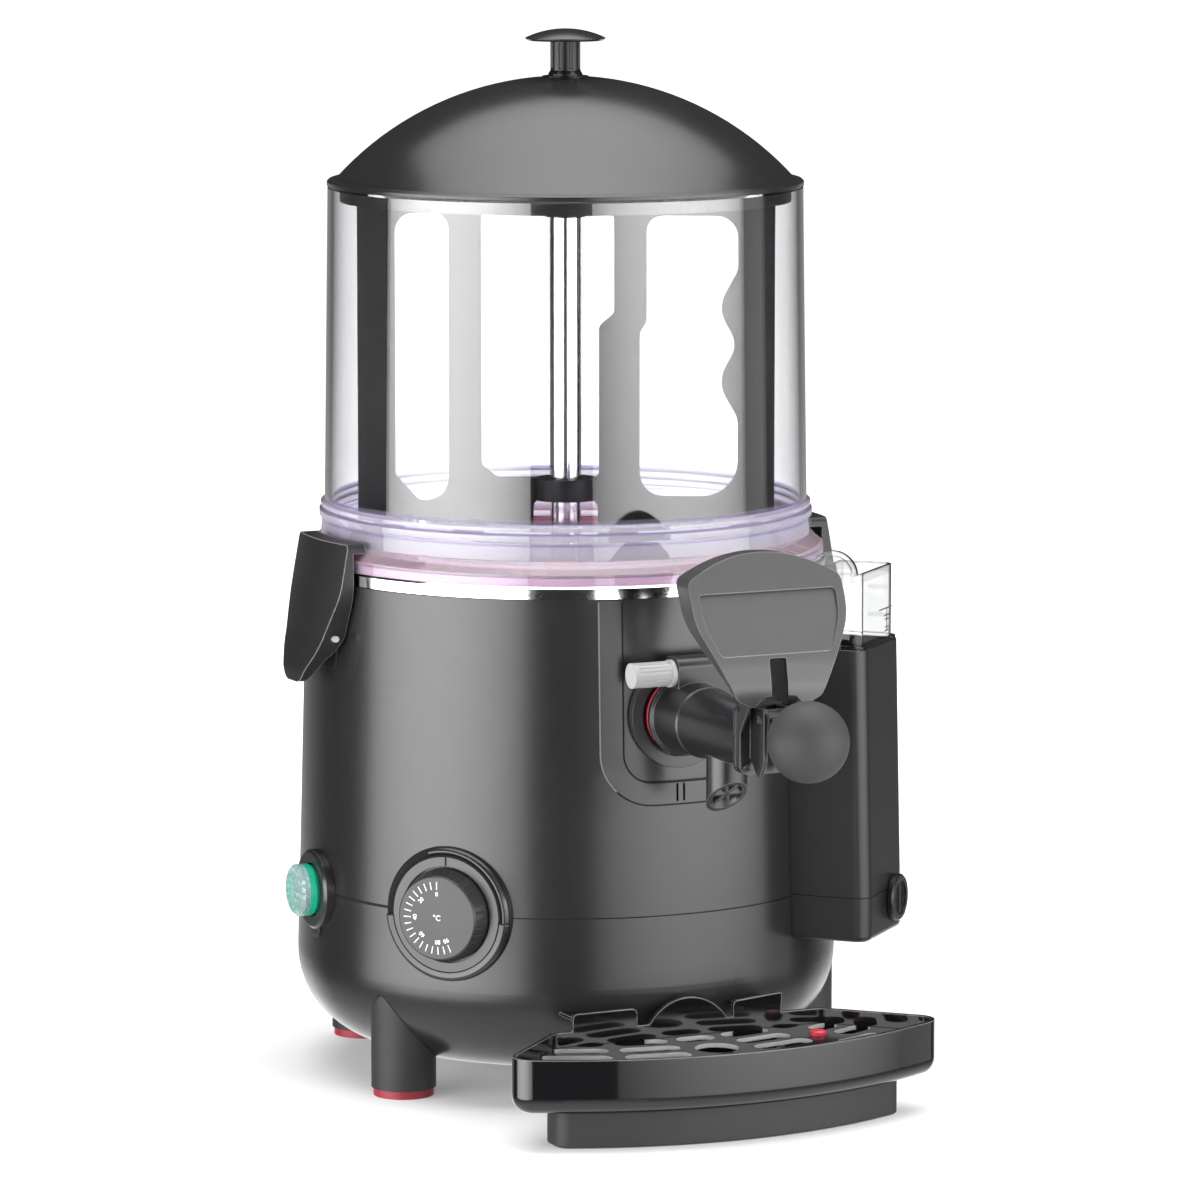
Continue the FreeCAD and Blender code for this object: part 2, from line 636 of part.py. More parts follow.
# ---------------------------------------------------------------- latches
def latch_lever():
    """Curved lever whose top lip hooks over the container's flange."""
    h = LATCH_HALF
    top = LATCH_TOP_Z
    front = [(-h, top, 3), (-h - 0.4, 274, 40), (-23.5, 243, 30), (-10, 224.5, 9), (10, 224.5, 9),
             (23.5, 243, 30), (h + 0.4, 274, 40), (h, top, 3)]
    plate = revolve([(139.5, top + 3), (149.4, top + 3), (149.6, top), (154.2, 276, 60), (159.6, 250, 30),
                     (164.8, 231, 12), (165.0, 218), (157.5, 231, 4), (153.0, 240, 3), (146.6, 240, 4),
                     (146.6, top - 5), (139.5, top - 5)])
    hollow = revolve([(120, top - 5), (146.9, top - 5, 2), (151.1, 276, 57), (156.5, 250, 27),
                      (161.4, 232, 8), (161.8, 215), (120, 215)])
    body = plate.common(prism(front, yz, 120, 180))
    body = body.cut(hollow.common(smaller(front, yz, LATCH_T, 100, 190)))
    room = revolve([(0, 200), (housing_r(200) + 2, 200), (housing_r(280) + 2, 280), (0, 280)])
    room.rotate(V(LATCH_PIN_AT, 0, LATCH_PIN_Z), V(0, 1, 0), -LATCH_OPEN)
    room = room.common(box(120, 160, -50, 50, 200, LATCH_PIN_Z))
    pin = rod(LATCH_PIN_R + RUN, V(LATCH_PIN_AT, -50, LATCH_PIN_Z), V(LATCH_PIN_AT, 50, LATCH_PIN_Z))
    return body.cut(room).cut(pin)


def latch_bracket():
    """Lug on the housing that holds the right latch's hinge pin."""
    x = LATCH_PIN_AT
    lug = box(120, x, -LUG_HALF, LUG_HALF, LATCH_PIN_Z - 4.1, LATCH_PIN_Z + 4.1)
    lug = lug.fuse(rod(4.1, V(x, -LUG_HALF, LATCH_PIN_Z), V(x, LUG_HALF, LATCH_PIN_Z)))
    plate = box(120, 147.5, 2.4 - LUG_HALF, LUG_HALF - 2.4, 232, 268).common(
        revolve([(0, 200), (housing_r(200) + 1.6, 200), (housing_r(280) + 1.6, 280), (0, 280)]))
    pin = rod(LATCH_PIN_R, V(x, -50, LATCH_PIN_Z), V(x, 50, LATCH_PIN_Z))
    return fused([lug, plate]).cut(base_solid()).cut(pin)


def latch_pin():
    return rod(LATCH_PIN_R, V(LATCH_PIN_AT, -29, LATCH_PIN_Z), V(LATCH_PIN_AT, 29, LATCH_PIN_Z))


def both_sides(shape):
    """A right-hand piece together with its twin half a turn round the bowl's axis."""
    return group([shape, turned(shape, 180)])


def latch_brackets():
    return both_sides(latch_bracket())


def latch_pins():
    return both_sides(latch_pin())


def latch_lever_left():
    return turned(latch_lever(), 180)


# ---------------------------------------------------------------- dial and switch
def dial_bezel():
    """Round boss across the seam, cut to the housing's curve, with a recess for the knob."""
    face = DIAL_FACE_AT
    bore = KNOB_BASE_R + 0.9
    neck_r = DIAL_HOLE_R - 0.1
    boss = Part.Face(outline([(bore, 120), (DIAL_RING_R, 120), (DIAL_RING_R, face - 3.6),
                              (DIAL_RING_R - 1, face - 2.8), (DIAL_BEZEL_R, face), (bore, face)], xz)).revolve(ORIGIN, UP, 360)
    boss = at_side(DIAL_ANGLE, raised(boss, DIAL_Z)).cut(base_solid())
    neck = Part.Face(outline([(bore, 138), (neck_r, 138), (neck_r, face - 1.5), (bore, face - 1.5)], xz))
    floor = ring(bore + 1, 6, V(0, 0, face - 5), V(0, 0, face - 2.7))
    tick = box(-0.5, 0.5, KNOB_BASE_R + 1.8, DIAL_BEZEL_R - 1.9, face - 1, face + 0.25)
    inner = [raised(s, DIAL_Z) for s in (neck.revolve(ORIGIN, UP, 360), floor, tick)]
    return fused([boss] + [at_side(DIAL_ANGLE, s) for s in inner])


def raised(shape, z):
    """Shift a piece drawn round its own axis up to its height, before it is turned to a side."""
    copy = shape.copy()
    copy.translate(V(0, z, 0))
    return copy


def dial_knob():
    """Round thermostat knob with a fine grip round its side."""
    low = DIAL_FACE_AT - 2.4
    high = DIAL_FACE_AT + KNOB_H
    knob = Part.Face(outline([(0, low), (KNOB_BASE_R, low), (KNOB_BASE_R, low + 3.5),
                              (KNOB_FACE_R, high - 0.8), (KNOB_FACE_R - 0.8, high), (0, high)], xz)).revolve(ORIGIN, UP, 360)
    grips = []
    for i in range(36):
        a = math.radians(i * 10)
        foot = V((KNOB_BASE_R + 0.25) * math.cos(a), (KNOB_BASE_R + 0.25) * math.sin(a), low + 4.5)
        head = V((KNOB_FACE_R + 0.45) * math.cos(a), (KNOB_FACE_R + 0.45) * math.sin(a), high - 1.5)
        grips.append(rod(0.6, foot, head))
    socket = rod(DIAL_SHAFT_R, V(0, 0, low - 1), V(0, 0, DIAL_FACE_AT + 5))
    return at_side(DIAL_ANGLE, raised(knob.cut(group(grips)).cut(socket), DIAL_Z))


def thermostat():
    """Thermostat body clipped behind the bezel's floor, with a bore for the knob's shaft."""
    back = DIAL_FACE_AT - 5
    body = prism([(-16, -16, 4), (16, -16, 4), (16, 16, 4), (-16, 16, 4)], xy, back - 30, back - 2)
    nose = rod(5.6, V(0, 0, back - 2), V(0, 0, back + 2.2))
    flange = box(-25.0, 25.0, -8, 8, back - 2, back)
    bore = rod(DIAL_SHAFT_R + RUN, V(0, 0, back - 12), V(0, 0, back + 5))
    return at_side(DIAL_ANGLE, raised(fused([body, nose, flange]).cut(bore), DIAL_Z))


def dial_shaft():
    back = DIAL_FACE_AT - 5
    return at_side(DIAL_ANGLE, raised(rod(DIAL_SHAFT_R, V(0, 0, back - 11), V(0, 0, back + 10)), DIAL_Z))


def switch_ring():
    """Round collar of the mains switch with the small lug under it."""
    face = SWITCH_FACE_AT
    tube = Part.Face(outline([(BUTTON_R + 0.6, 120), (SWITCH_RING_R, 120), (SWITCH_RING_R, face - 1.5),
                              (SWITCH_RING_R - 1.5, face), (BUTTON_R + 0.6, face)], xz))
    tube = tube.revolve(ORIGIN, UP, 360)
    lug = prism([(-6, -SWITCH_RING_R - 4.5, 4), (6, -SWITCH_RING_R - 4.5, 4), (6, -SWITCH_RING_R + 3),
                 (-6, -SWITCH_RING_R + 3)], xy, 120, face - 3).cut(rod(SWITCH_RING_R - 1, V(0, 0, 100), V(0, 0, 200)))
    neck = ring(SWITCH_HOLE_R - 0.1, BUTTON_R + 0.6, V(0, 0, 138), V(0, 0, face - 2))
    outer = at_side(SWITCH_ANGLE, raised(tube.fuse(lug), SWITCH_Z)).cut(base_solid())
    return fused([outer, at_side(SWITCH_ANGLE, raised(neck, SWITCH_Z))])


def switch_button():
    """Green lamp body of the push button."""
    low = SWITCH_FACE_AT - 9
    high = SWITCH_FACE_AT + BUTTON_OUT - 4.5
    button = Part.Face(outline([(0, low), (BUTTON_R - 1, low), (BUTTON_R - 1, high - 4), (BUTTON_R, high - 4),
                                (BUTTON_R, high), (0, high)], xz)).revolve(ORIGIN, UP, 360)
    stem = rod(4.0, V(0, 0, low - 15), V(0, 0, low))
    return at_side(SWITCH_ANGLE, raised(button.fuse(stem), SWITCH_Z))


def switch_lens():
    """Clear ribbed lens on the button."""
    low = SWITCH_FACE_AT + BUTTON_OUT - 4.5
    high = SWITCH_FACE_AT + BUTTON_OUT
    lens = Part.Face(outline([(0, low), (BUTTON_R, low), (BUTTON_R, high - 1.6), (BUTTON_R - 1.6, high), (0, high)], xz))
    lens = lens.revolve(ORIGIN, UP, 360)
    grooves = [box(-BUTTON_R, BUTTON_R, y - 0.4, y + 0.4, high - 0.5, high + 1) for y in range(-8, 9, 4)]
    return at_side(SWITCH_ANGLE, raised(lens.cut(group(grooves)), SWITCH_Z))


def switch_body():
    back = SWITCH_FACE_AT - 13
    body = prism([(-SWITCH_HOLE_R, -12, 2), (SWITCH_HOLE_R, -12, 2), (SWITCH_HOLE_R, 12, 2),
                  (-SWITCH_HOLE_R, 12, 2)], xy, back - 32, back - 3.2)
    tabs = [box(x, x + 0.8, -3, 3, back - 42, back - 31) for x in (-10, -2, 6)]
    bore = rod(4.0 + RUN, V(0, 0, back - 15), V(0, 0, back))
    return at_side(SWITCH_ANGLE, raised(fused([body] + tabs).cut(bore), SWITCH_Z))


# ---------------------------------------------------------------- tap
def tap_collar():
    """Pale locking ring round the tap's port, cut to the housing's curve."""
    whole = ring(COLLAR_R, COLLAR_BORE, V(0, -120, TAP_Z), V(0, -148.4, TAP_Z))
    cheek = box(-7.5, 7.5, -148.4, -140, TAP_Z + 22.9, TAP_Z + 30)
    cheek = cheek.common(rod(COLLAR_R + 3, V(0, -120, TAP_Z), V(0, -150, TAP_Z)))
    return fused([whole, cheek]).cut(base_solid())


def tap_o_ring():
    section = [(19.4 + 1.85 * math.cos(a), -150.1 + 1.85 * math.sin(a)) for a in hexagon_angles()]
    seal = Part.Face(outline(section, xy)).revolve(ORIGIN, V(0, 1, 0), 360)
    seal.translate(V(0, 0, TAP_Z))
    return seal


def lug_block():
    """Saddle on the barrel that the locking pin passes through."""
    return prism([(-166, TAP_Z + 12), (-153, TAP_Z + 12), (-151.5, TAP_Z + 33, 2), (-167, TAP_Z + 33, 5)],
                 yz, PIN_SEAT_X, 24)


def tap_barrel():
    """Tapered barrel with its neck, pin saddle and downward spout."""
    z = TAP_Z
    profile = [(0, -141), (COLLAR_BORE - 0.2, -141), (COLLAR_BORE - 0.2, -146.5), (17.4, -146.5), (17.4, -152),
               (BARREL_R0 + 1.3, -152), (BARREL_R0 + 1.3, BARREL_Y0 - 1), (BARREL_R0, BARREL_Y0 - 2),
               (BARREL_R0 - 1.7, -180), (BARREL_R0 - 1.2, -180.8), (BARREL_R0 - 1.8, -182),
               (BARREL_R1, BARREL_Y1), (0, BARREL_Y1)]
    face = Part.Face(outline(profile, xy))
    barrel = face.revolve(ORIGIN, V(0, 1, 0), 360)
    barrel.translate(V(0, 0, z))
    spout = rod(SPOUT_R, V(0, SPOUT_Y, z - 8), V(0, SPOUT_Y, z - 50))
    spout = spout.cut(spout_cutter())
    scallop = rod(PIN_COLLAR_R + 0.5, V(-40, PIN_AT_Y, PIN_AT_Z), V(PIN_SEAT_X, PIN_AT_Y, PIN_AT_Z))
    flange = prism(cap_outline(), xz, BARREL_Y1, BARREL_Y1 + 3)
    whole = fused([barrel.cut(scallop), spout, flange, lug_block()])
    inlet = rod(BARREL_SPIGOT_R + 0.1, V(0, -130, z), V(0, -152.4, z))
    throat = rod(PISTON_R - 1.5, V(0, -150, z), V(0, PISTON_Y0 + 2, z))
    bore = rod(PISTON_R + RUN, V(0, PISTON_Y0 + 3, z), V(0, BARREL_Y1 - 1, z))
    drop = rod(PORT_R, V(0, SPOUT_Y, z), V(0, SPOUT_Y, z - 20))
    mouth = rod(SPOUT_BORE, V(0, SPOUT_Y, z - 18.5), V(0, SPOUT_Y, z - 60))
    pin = rod(ROD_R + RUN, V(-40, PIN_AT_Y, PIN_AT_Z), V(40, PIN_AT_Y, PIN_AT_Z))
    for tool in (inlet, throat, bore, drop, mouth, pin):
        whole = whole.cut(tool)
    return whole.fuse(spout_fins())


PIN_AT_Y = -159.0
PIN_AT_Z = TAP_Z + 24.4
PIN_SEAT_X = -10.3
PIN_COLLAR_R = 7.4


def spout_cutter():
    """Wedge that cuts the spout's mouth on the slant, so that it opens to the front."""
    return prism([(SPOUT_Y + 12, TAP_Z - 46.5), (SPOUT_Y - 12, TAP_Z - 26), (SPOUT_Y - 12, TAP_Z - 60),
                  (SPOUT_Y + 12, TAP_Z - 60)], yz, -20, 20)


def spout_fins():
    """Three blades in the mouth that keep the stream together."""
    blades = []
    for angle in (0, 60, 120):
        blade = box(-SPOUT_BORE - 0.5, SPOUT_BORE + 0.5, -0.7, 0.7, TAP_Z - 60, TAP_Z - 24)
        blade.rotate(ORIGIN, UP, angle)
        blades.append(blade)
    fins = fused(blades)
    fins.translate(V(0, SPOUT_Y, 0))
    cutter = spout_cutter()
    cutter.translate(V(0, 0, 1.2))
    return fins.cut(cutter).cut(box(-20, 20, SPOUT_Y - 20, SPOUT_Y + 20, TAP_Z - 70, TAP_Z - 50))


def locking_pin():
    """Cross pin with a pale ribbed head that locks the tap in its port."""
    y, z = PIN_AT_Y, PIN_AT_Z
    head = rod(6.8, V(-35, y, z), V(PIN_SEAT_X - 2.8, y, z))
    ribs = []
    for i in range(18):
        a = math.radians(i * 20)
        at = V(0, y + 6.9 * math.cos(a), z + 6.9 * math.sin(a))
        ribs.append(rod(0.45, at + V(-32, 0, 0), at + V(PIN_SEAT_X - 3.5, 0, 0)))
    collar = rod(PIN_COLLAR_R, V(PIN_SEAT_X - 2.8, y, z), V(PIN_SEAT_X - SEAT, y, z))
    shank = rod(ROD_R, V(PIN_SEAT_X - 1, y, z), V(27, y, z))
    return fused([head.cut(group(ribs)), collar, shank])


def cap_outline():
    """Outline of the cap and of the flange behind it."""
    h = CAP_HALF
    return [(-h, TAP_Z - 17, 5), (h, TAP_Z - 17, 5), (h, TAP_Z + 20, 5), (-h, TAP_Z + 20, 5)]


def tap_cap():
    """Front plate of the barrel, with two cheeks for the lever's pivot and two arms for the shield."""
    z = TAP_Z
    front = PIVOT_Y - 5
    cheek = [(CAP_Y, z - 8), (CAP_Y, z + 19), (front, z + 20, 3), (front, z - 8, 4), (front + 5, z - 17, 2), (front + 8, z - 17, 2)]
    cheeks = [prism(cheek, yz, x, x + 2.2) for x in (-8.6, 6.4)]
    arm = [(CAP_Y, z + 6), (CAP_Y, z + 18), (-252, z + 48), (-270, z + 48), (-270, z + 35)]
    arms = [prism(arm, yz, x, x + 1.4).common(behind_face()) for x in (-CAP_HALF, CAP_HALF - 1.4)]
    whole = fused([prism(cap_outline(), xz, CAP_Y, BARREL_Y1)] + cheeks + arms)
    rod_hole = rod(ROD_R + RUN, V(0, BARREL_Y1 + 1, z), V(0, CAP_Y - 1, z))
    pivot = rod(2.0, V(-20, PIVOT_Y, PIVOT_Z), V(20, PIVOT_Y, PIVOT_Z))
    screws = [rod(1.6, p, p + V(0, -10, 0)) for p in cap_screw_points(BARREL_Y1 + 1)]
    return whole.cut(rod_hole).cut(pivot).cut(group(screws))


def cap_screw_points(y):
    x = CAP_HALF - 3.6
    return [V(side * x, y, TAP_Z + dz) for side in (-1, 1) for dz in (-13.2, 16.2)]


def cap_screws():
    screws = []
    for p in cap_screw_points(CAP_Y):
        head = rod(1.9, p, p + V(0, -1.8, 0))
        slot = box(p.x - 3, p.x + 3, p.y - 2.5, p.y - 1.0, p.z - 0.4, p.z + 0.4)
        screws.append(head.fuse(rod(1.5, p, p + V(0, CAP_T - 0.2, 0))).cut(slot))
    return group(screws)


def piston():
    """Piston with its rod and the eye that the lever's fork takes hold of."""
    z = TAP_Z
    body = rod(PISTON_R, V(0, PISTON_Y0, z), V(0, PISTON_Y1, z))
    grooves = [ring(PISTON_R + 1, PISTON_R - 2.05, V(0, y, z), V(0, y - 2.4, z)) for y in RING_YS]
    rod_end = V(0, PIN_Y + 2, z)
    stem = rod(ROD_R, V(0, PISTON_Y1, z), rod_end)
    eye = rod(3.4, V(-2.4, PIN_Y, z), V(2.4, PIN_Y, z))
    pin = rod(1.9, V(-5.6, PIN_Y, z), V(5.6, PIN_Y, z))
    return fused([body.cut(group(grooves)), stem, eye, pin])


RING_YS = (PISTON_Y0 - 1.2, PISTON_Y1 + 4.0)


def piston_rings():
    inner = PISTON_R - 2.05
    return group([ring(PISTON_R, inner, V(0, y - 0.2, TAP_Z), V(0, y - 2.2, TAP_Z)) for y in RING_YS])


def tap_lever():
    """Bell crank: a fork that draws the piston and a stem that carries the ball."""
    hub = rod(5.2, V(-6, PIVOT_Y, PIVOT_Z), V(6, PIVOT_Y, PIVOT_Z))
    lean = LEVER_SWING / 2
    reach = (PIVOT_Z - TAP_Z) / math.cos(math.radians(lean))
    arm = prism([(PIVOT_Y - 4.2, PIVOT_Z - reach - 3.2, 3), (PIVOT_Y + 4.2, PIVOT_Z - reach - 3.2, 3),
                 (PIVOT_Y + 4.2, PIVOT_Z), (PIVOT_Y - 4.2, PIVOT_Z)], yz, -6, 6)
    arm = arm.cut(box(-ROD_R - 0.3, ROD_R + 0.3, PIVOT_Y - 20, PIVOT_Y + 20, PIVOT_Z - 40, PIVOT_Z - 4.9))
    slot = box(-8, 8, PIVOT_Y - 2.2, PIVOT_Y + 2.2, PIVOT_Z - reach - 2.4, PIVOT_Z - reach + 3.4)
    arm = arm.cut(slot)
    arm.rotate(V(0, PIVOT_Y, PIVOT_Z), V(1, 0, 0), lean)
    towards = V(0, BALL_Y, BALL_Z) - V(0, PIVOT_Y, PIVOT_Z)
    length = towards.Length
    towards.normalize()
    start = V(0, PIVOT_Y, PIVOT_Z)
    stem = rod(STEM_R, start, start + towards * (length - BALL_R + 6))
    pivot = rod(2.0 + RUN, V(-20, PIVOT_Y, PIVOT_Z), V(20, PIVOT_Y, PIVOT_Z))
    return fused([hub, arm, stem]).cut(pivot)


def lever_pin():
    return rod(2.0, V(-9.4, PIVOT_Y, PIVOT_Z), V(9.4, PIVOT_Y, PIVOT_Z))


def ball_knob():
    centre = V(0, BALL_Y, BALL_Z)
    towards = V(0, PIVOT_Y, PIVOT_Z) - centre
    towards.normalize()
    ball = Part.makeSphere(BALL_R, centre)
    flat = rod(BALL_R, centre + towards * (BALL_R - 1.6), centre + towards * (BALL_R + 5))
    socket = rod(STEM_R, centre + towards * (BALL_R - 6), centre + towards * (BALL_R + 5))
    return ball.cut(flat).cut(socket)


SHIELD_FRONT = [(-SHIELD_HALF, SHIELD_TOP_Z - 11, 6), (0, SHIELD_TOP_Z + 10.5, 78),
                (SHIELD_HALF, SHIELD_TOP_Z - 11, 6), (SHIELD_HALF, 281, 34), (24.5, SHIELD_LOW_Z + 5, 5),
                (15, SHIELD_LOW_Z, 3), (9, SHIELD_LOW_Z + 6, 5), (-9, SHIELD_LOW_Z + 6, 5),
                (-15, SHIELD_LOW_Z, 3), (-24.5, SHIELD_LOW_Z + 5, 5), (-SHIELD_HALF, 281, 34)]


# side of the shield as (y, z): the face leans forward towards the slot
SHIELD_FACE = [(-236, 330), (-239, 318), (-252.5, 292, 40), (-263.5, 262, 50), (-266.5, 246, 30),
               (-264.0, 212, 10), (-262.5, 195)]


def shield_side():
    """The shield's side: below the slot only the face is left."""
    low = [(-259.5, 195), (-261.2, 212, 10), (-263.4, 244, 10), (-260.4, 252, 14), (-246, 274, 60)]
    return SHIELD_FACE + low + [(SHIELD_BACK_Y, 305), (SHIELD_BACK_Y, 330)]


def behind_face():
    """Everything behind the shield's face wall."""
    face = [(p[0] + SHIELD_T,) + p[1:] for p in SHIELD_FACE]
    return prism(face + [(-200, 195), (-200, 330)], yz, -60, 60)


RECESS_Z0 = 264.0
RECESS_Z1 = 295.5
RECESS = [(-39.5, RECESS_Z1, 2), (39.5, RECESS_Z1, 2), (39.0, 281, 30), (31.7, RECESS_Z0, 3),
          (-31.7, RECESS_Z0, 3), (-39.0, 281, 30)]


def recess_depth(z):
    """Depth of the panel in the shield's face: it runs out towards the slot."""
    return 0.3 + 1.3 * (z - RECESS_Z0) / (RECESS_Z1 - RECESS_Z0)


def shield():
    """Broad hollow shield in front of the tap, forked below where the lever passes."""
    whole = prism(SHIELD_FRONT, xz, -280, -200).common(prism(shield_side(), yz, -60, 60))
    whole = whole.cut(smaller(SHIELD_FRONT, xz, SHIELD_T, -280, -200).common(behind_face()))
    slot = prism([(-SLOT_HALF, SHIELD_LOW_Z - 5), (SLOT_HALF, SHIELD_LOW_Z - 5), (SLOT_HALF, SLOT_Z1, 1),
                  (-SLOT_HALF, SLOT_Z1, 1)], xz, -280, -240)
    face = prism([(p[0] + recess_depth(p[1]),) + p[1:] for p in SHIELD_FACE] + [(-200, 195), (-200, 330)],
                 yz, -60, 60)
    panel = prism(RECESS, xz, -280, -240)
    return whole.cut(slot).cut(panel.cut(face))


# ---------------------------------------------------------------- water tank
def tank_profile(half, near, far, corner, z):
    """Wire of a tank section drawn with x sideways and y outwards."""
    wire = outline([(-half, near), (half, near), (half, far, corner), (-half, far, corner)], xy)
    wire.translate(V(0, 0, z))
    return wire


def tank_out(z):
    share = (z - TANK_Z0) / (TANK_Z1 - TANK_Z0)
    return TANK_OUT - TANK_DRAFT * share


def tank_block(inset, z0, z1, near=110.0):
    """Drafted block standing at the tank's place, between two levels."""
    low = tank_profile(TANK_HALF - inset, near, tank_out(z0) - inset, TANK_CORNER - inset / 2, z0)
    high = tank_profile(TANK_HALF - inset, near, tank_out(z1) - inset, TANK_CORNER - inset / 2, z1)
    return Part.makeLoft([low, high], True, True)


def at_tank(shape):
    """Turn a piece drawn with x sideways, y outwards and z up to the tank's place."""
    return turned(shape.mirror(ORIGIN, V(0, 1, 0)), TANK_ANGLE)


def tank_body():
    whole = tank_block(0, TANK_SEAM_Z + 0.3, TANK_Z1)
    hollow = tank_block(TANK_WALL, TANK_SEAM_Z - 5, TANK_Z1 + 5, 152)
    return at_tank(whole.cut(hollow)).cut(base_solid())


def tank_foot():
    """Closed lower part of the tank, welded to the upper part along a seam."""
    seam = TANK_SEAM_Z
    section = tank_profile(TANK_HALF, 110, tank_out(seam), TANK_CORNER, TANK_Z0)
    whole = Part.Face(section).extrude(V(0, 0, seam - TANK_Z0))
    edges = [e for e in whole.Edges if e.BoundBox.ZMax < TANK_Z0 + 0.1 and e.BoundBox.YMax > 150]
    whole = whole.makeFillet(3.0, edges)
    hollow = tank_block(TANK_WALL, TANK_Z0 + TANK_WALL, seam + 6, 152)
    bore = rod(PLUG_BORE, V(PLUG_T, 180, PLUG_Z), V(PLUG_T, 200, PLUG_Z))
    return at_tank(whole.cut(hollow).cut(bore)).cut(base_solid())


PLUG_BORE = 5.0


def drain_plug():
    """Round screw plug with a coin slot on the tank's outer face."""
    face = tank_out(PLUG_Z) + 0.5
    head = rod(PLUG_R, V(PLUG_T, face, PLUG_Z), V(PLUG_T, face + 3.4, PLUG_Z))
    head = head.makeChamfer(0.9, [e for e in head.Edges if e.BoundBox.YMin > face + 3.3])
    well = rod(PLUG_R - 3.5, V(PLUG_T, face + 2.0, PLUG_Z), V(PLUG_T, face + 4, PLUG_Z))
    bar = box(PLUG_T - 1.3, PLUG_T + 1.3, face + 1.0, face + 3.0, PLUG_Z - 9.7, PLUG_Z + 9.7)
    shank = rod(PLUG_BORE - RUN, V(PLUG_T, face - 8, PLUG_Z), V(PLUG_T, face, PLUG_Z))
    return at_tank(fused([head.cut(well), bar, shank]))


def filler_cup():
    """Clear cup in the tank's mouth with water marks and an arched grip."""
    out = TANK_OUT - TANK_DRAFT - TANK_WALL - SEAT
    near = 152 + SEAT
    c = TANK_CORNER - 2
    low = tank_profile(CUP_HALF - 0.3, near, out, c, TANK_Z1 - 14)
    high = tank_profile(CUP_HALF - 0.3, near, out, c, CUP_TOP_Z)
    whole = Part.makeLoft([low, high], True, True)
    rim = Part.makeLoft([tank_profile(CUP_HALF + 1.6, near - 1.0, out + 2.0, c, TANK_Z1 + 0.1),
                         tank_profile(CUP_HALF + 1.6, near - 1.0, out + 2.0, c, TANK_Z1 + 2.0)], True, True)
    hollow = Part.makeLoft([tank_profile(CUP_HALF - CUP_T - 0.3, near + CUP_T, out - CUP_T, c - 1, TANK_Z1 - 12),
                            tank_profile(CUP_HALF - CUP_T - 0.3, near + CUP_T, out - CUP_T, c - 1, CUP_TOP_Z + 1)],
                           True, True)
    middle = (near + out) / 2
    reach = (out - near) / 2 - 2
    centre_z = HOOD_TOP_Z - reach
    arch = rod(reach, V(-CUP_HALF + 0.3, middle, centre_z), V(-CUP_HALF + 3.3, middle, centre_z))
    arch = arch.cut(box(-40, 40, 100, 250, 200, CUP_TOP_Z - 0.5))
    web = rod(reach - 3, V(-CUP_HALF + 1.6, middle, centre_z), V(-CUP_HALF + 5, middle, centre_z))
    drain = rod(5, V(0, middle, TANK_Z1 - 20), V(0, middle, TANK_Z1))
    marks = [box(CUP_HALF - 0.9, CUP_HALF + 0.1, 168, 182, z, z + 0.7) for z in (TANK_Z1 + 12, CUP_TOP_Z - 14)]
    return at_tank(fused([whole, rim, arch.cut(web)]).cut(hollow).cut(drain).cut(group(marks)))


# ---------------------------------------------------------------- drip tray
def tray_plan():
    """Plan of the tray: an arc in front, raking sides and a straight back."""
    corner_y = -math.sqrt(TRAY_R ** 2 - TRAY_HALF ** 2)
    rake = (TRAY_HALF - TRAY_BACK_HALF) / (TRAY_BACK_Y - corner_y)
    front_y = -TRAY_R - 20
    front_half = TRAY_BACK_HALF + rake * (TRAY_BACK_Y - front_y)
    wedge = prism([(-front_half, front_y), (front_half, front_y), (TRAY_BACK_HALF, TRAY_BACK_Y, 12),
                   (-TRAY_BACK_HALF, TRAY_BACK_Y, 12)], xy, 0, 1)
    plan = wedge.common(rod(TRAY_R, V(0, 0, 0), V(0, 0, 1)))
    corners = [e for e in plan.Edges if e.BoundBox.DiagonalLength < 1.01 and e.BoundBox.YMax < corner_y + 1
               and e.BoundBox.ZLength > 0.9]
    plan = plan.makeFillet(TRAY_CORNER, corners)
    return [f for f in plan.Faces if f.BoundBox.ZMax < 1e-3][0]


def tray_slab(inset, z0, z1):
    """Slab of the tray's plan, drawn smaller by an inset, between two levels."""
    face = tray_plan()
    if inset:
        face = face.makeOffset2D(-inset)
    face.translate(V(0, 0, z0))
    return face.extrude(V(0, 0, z1 - z0))


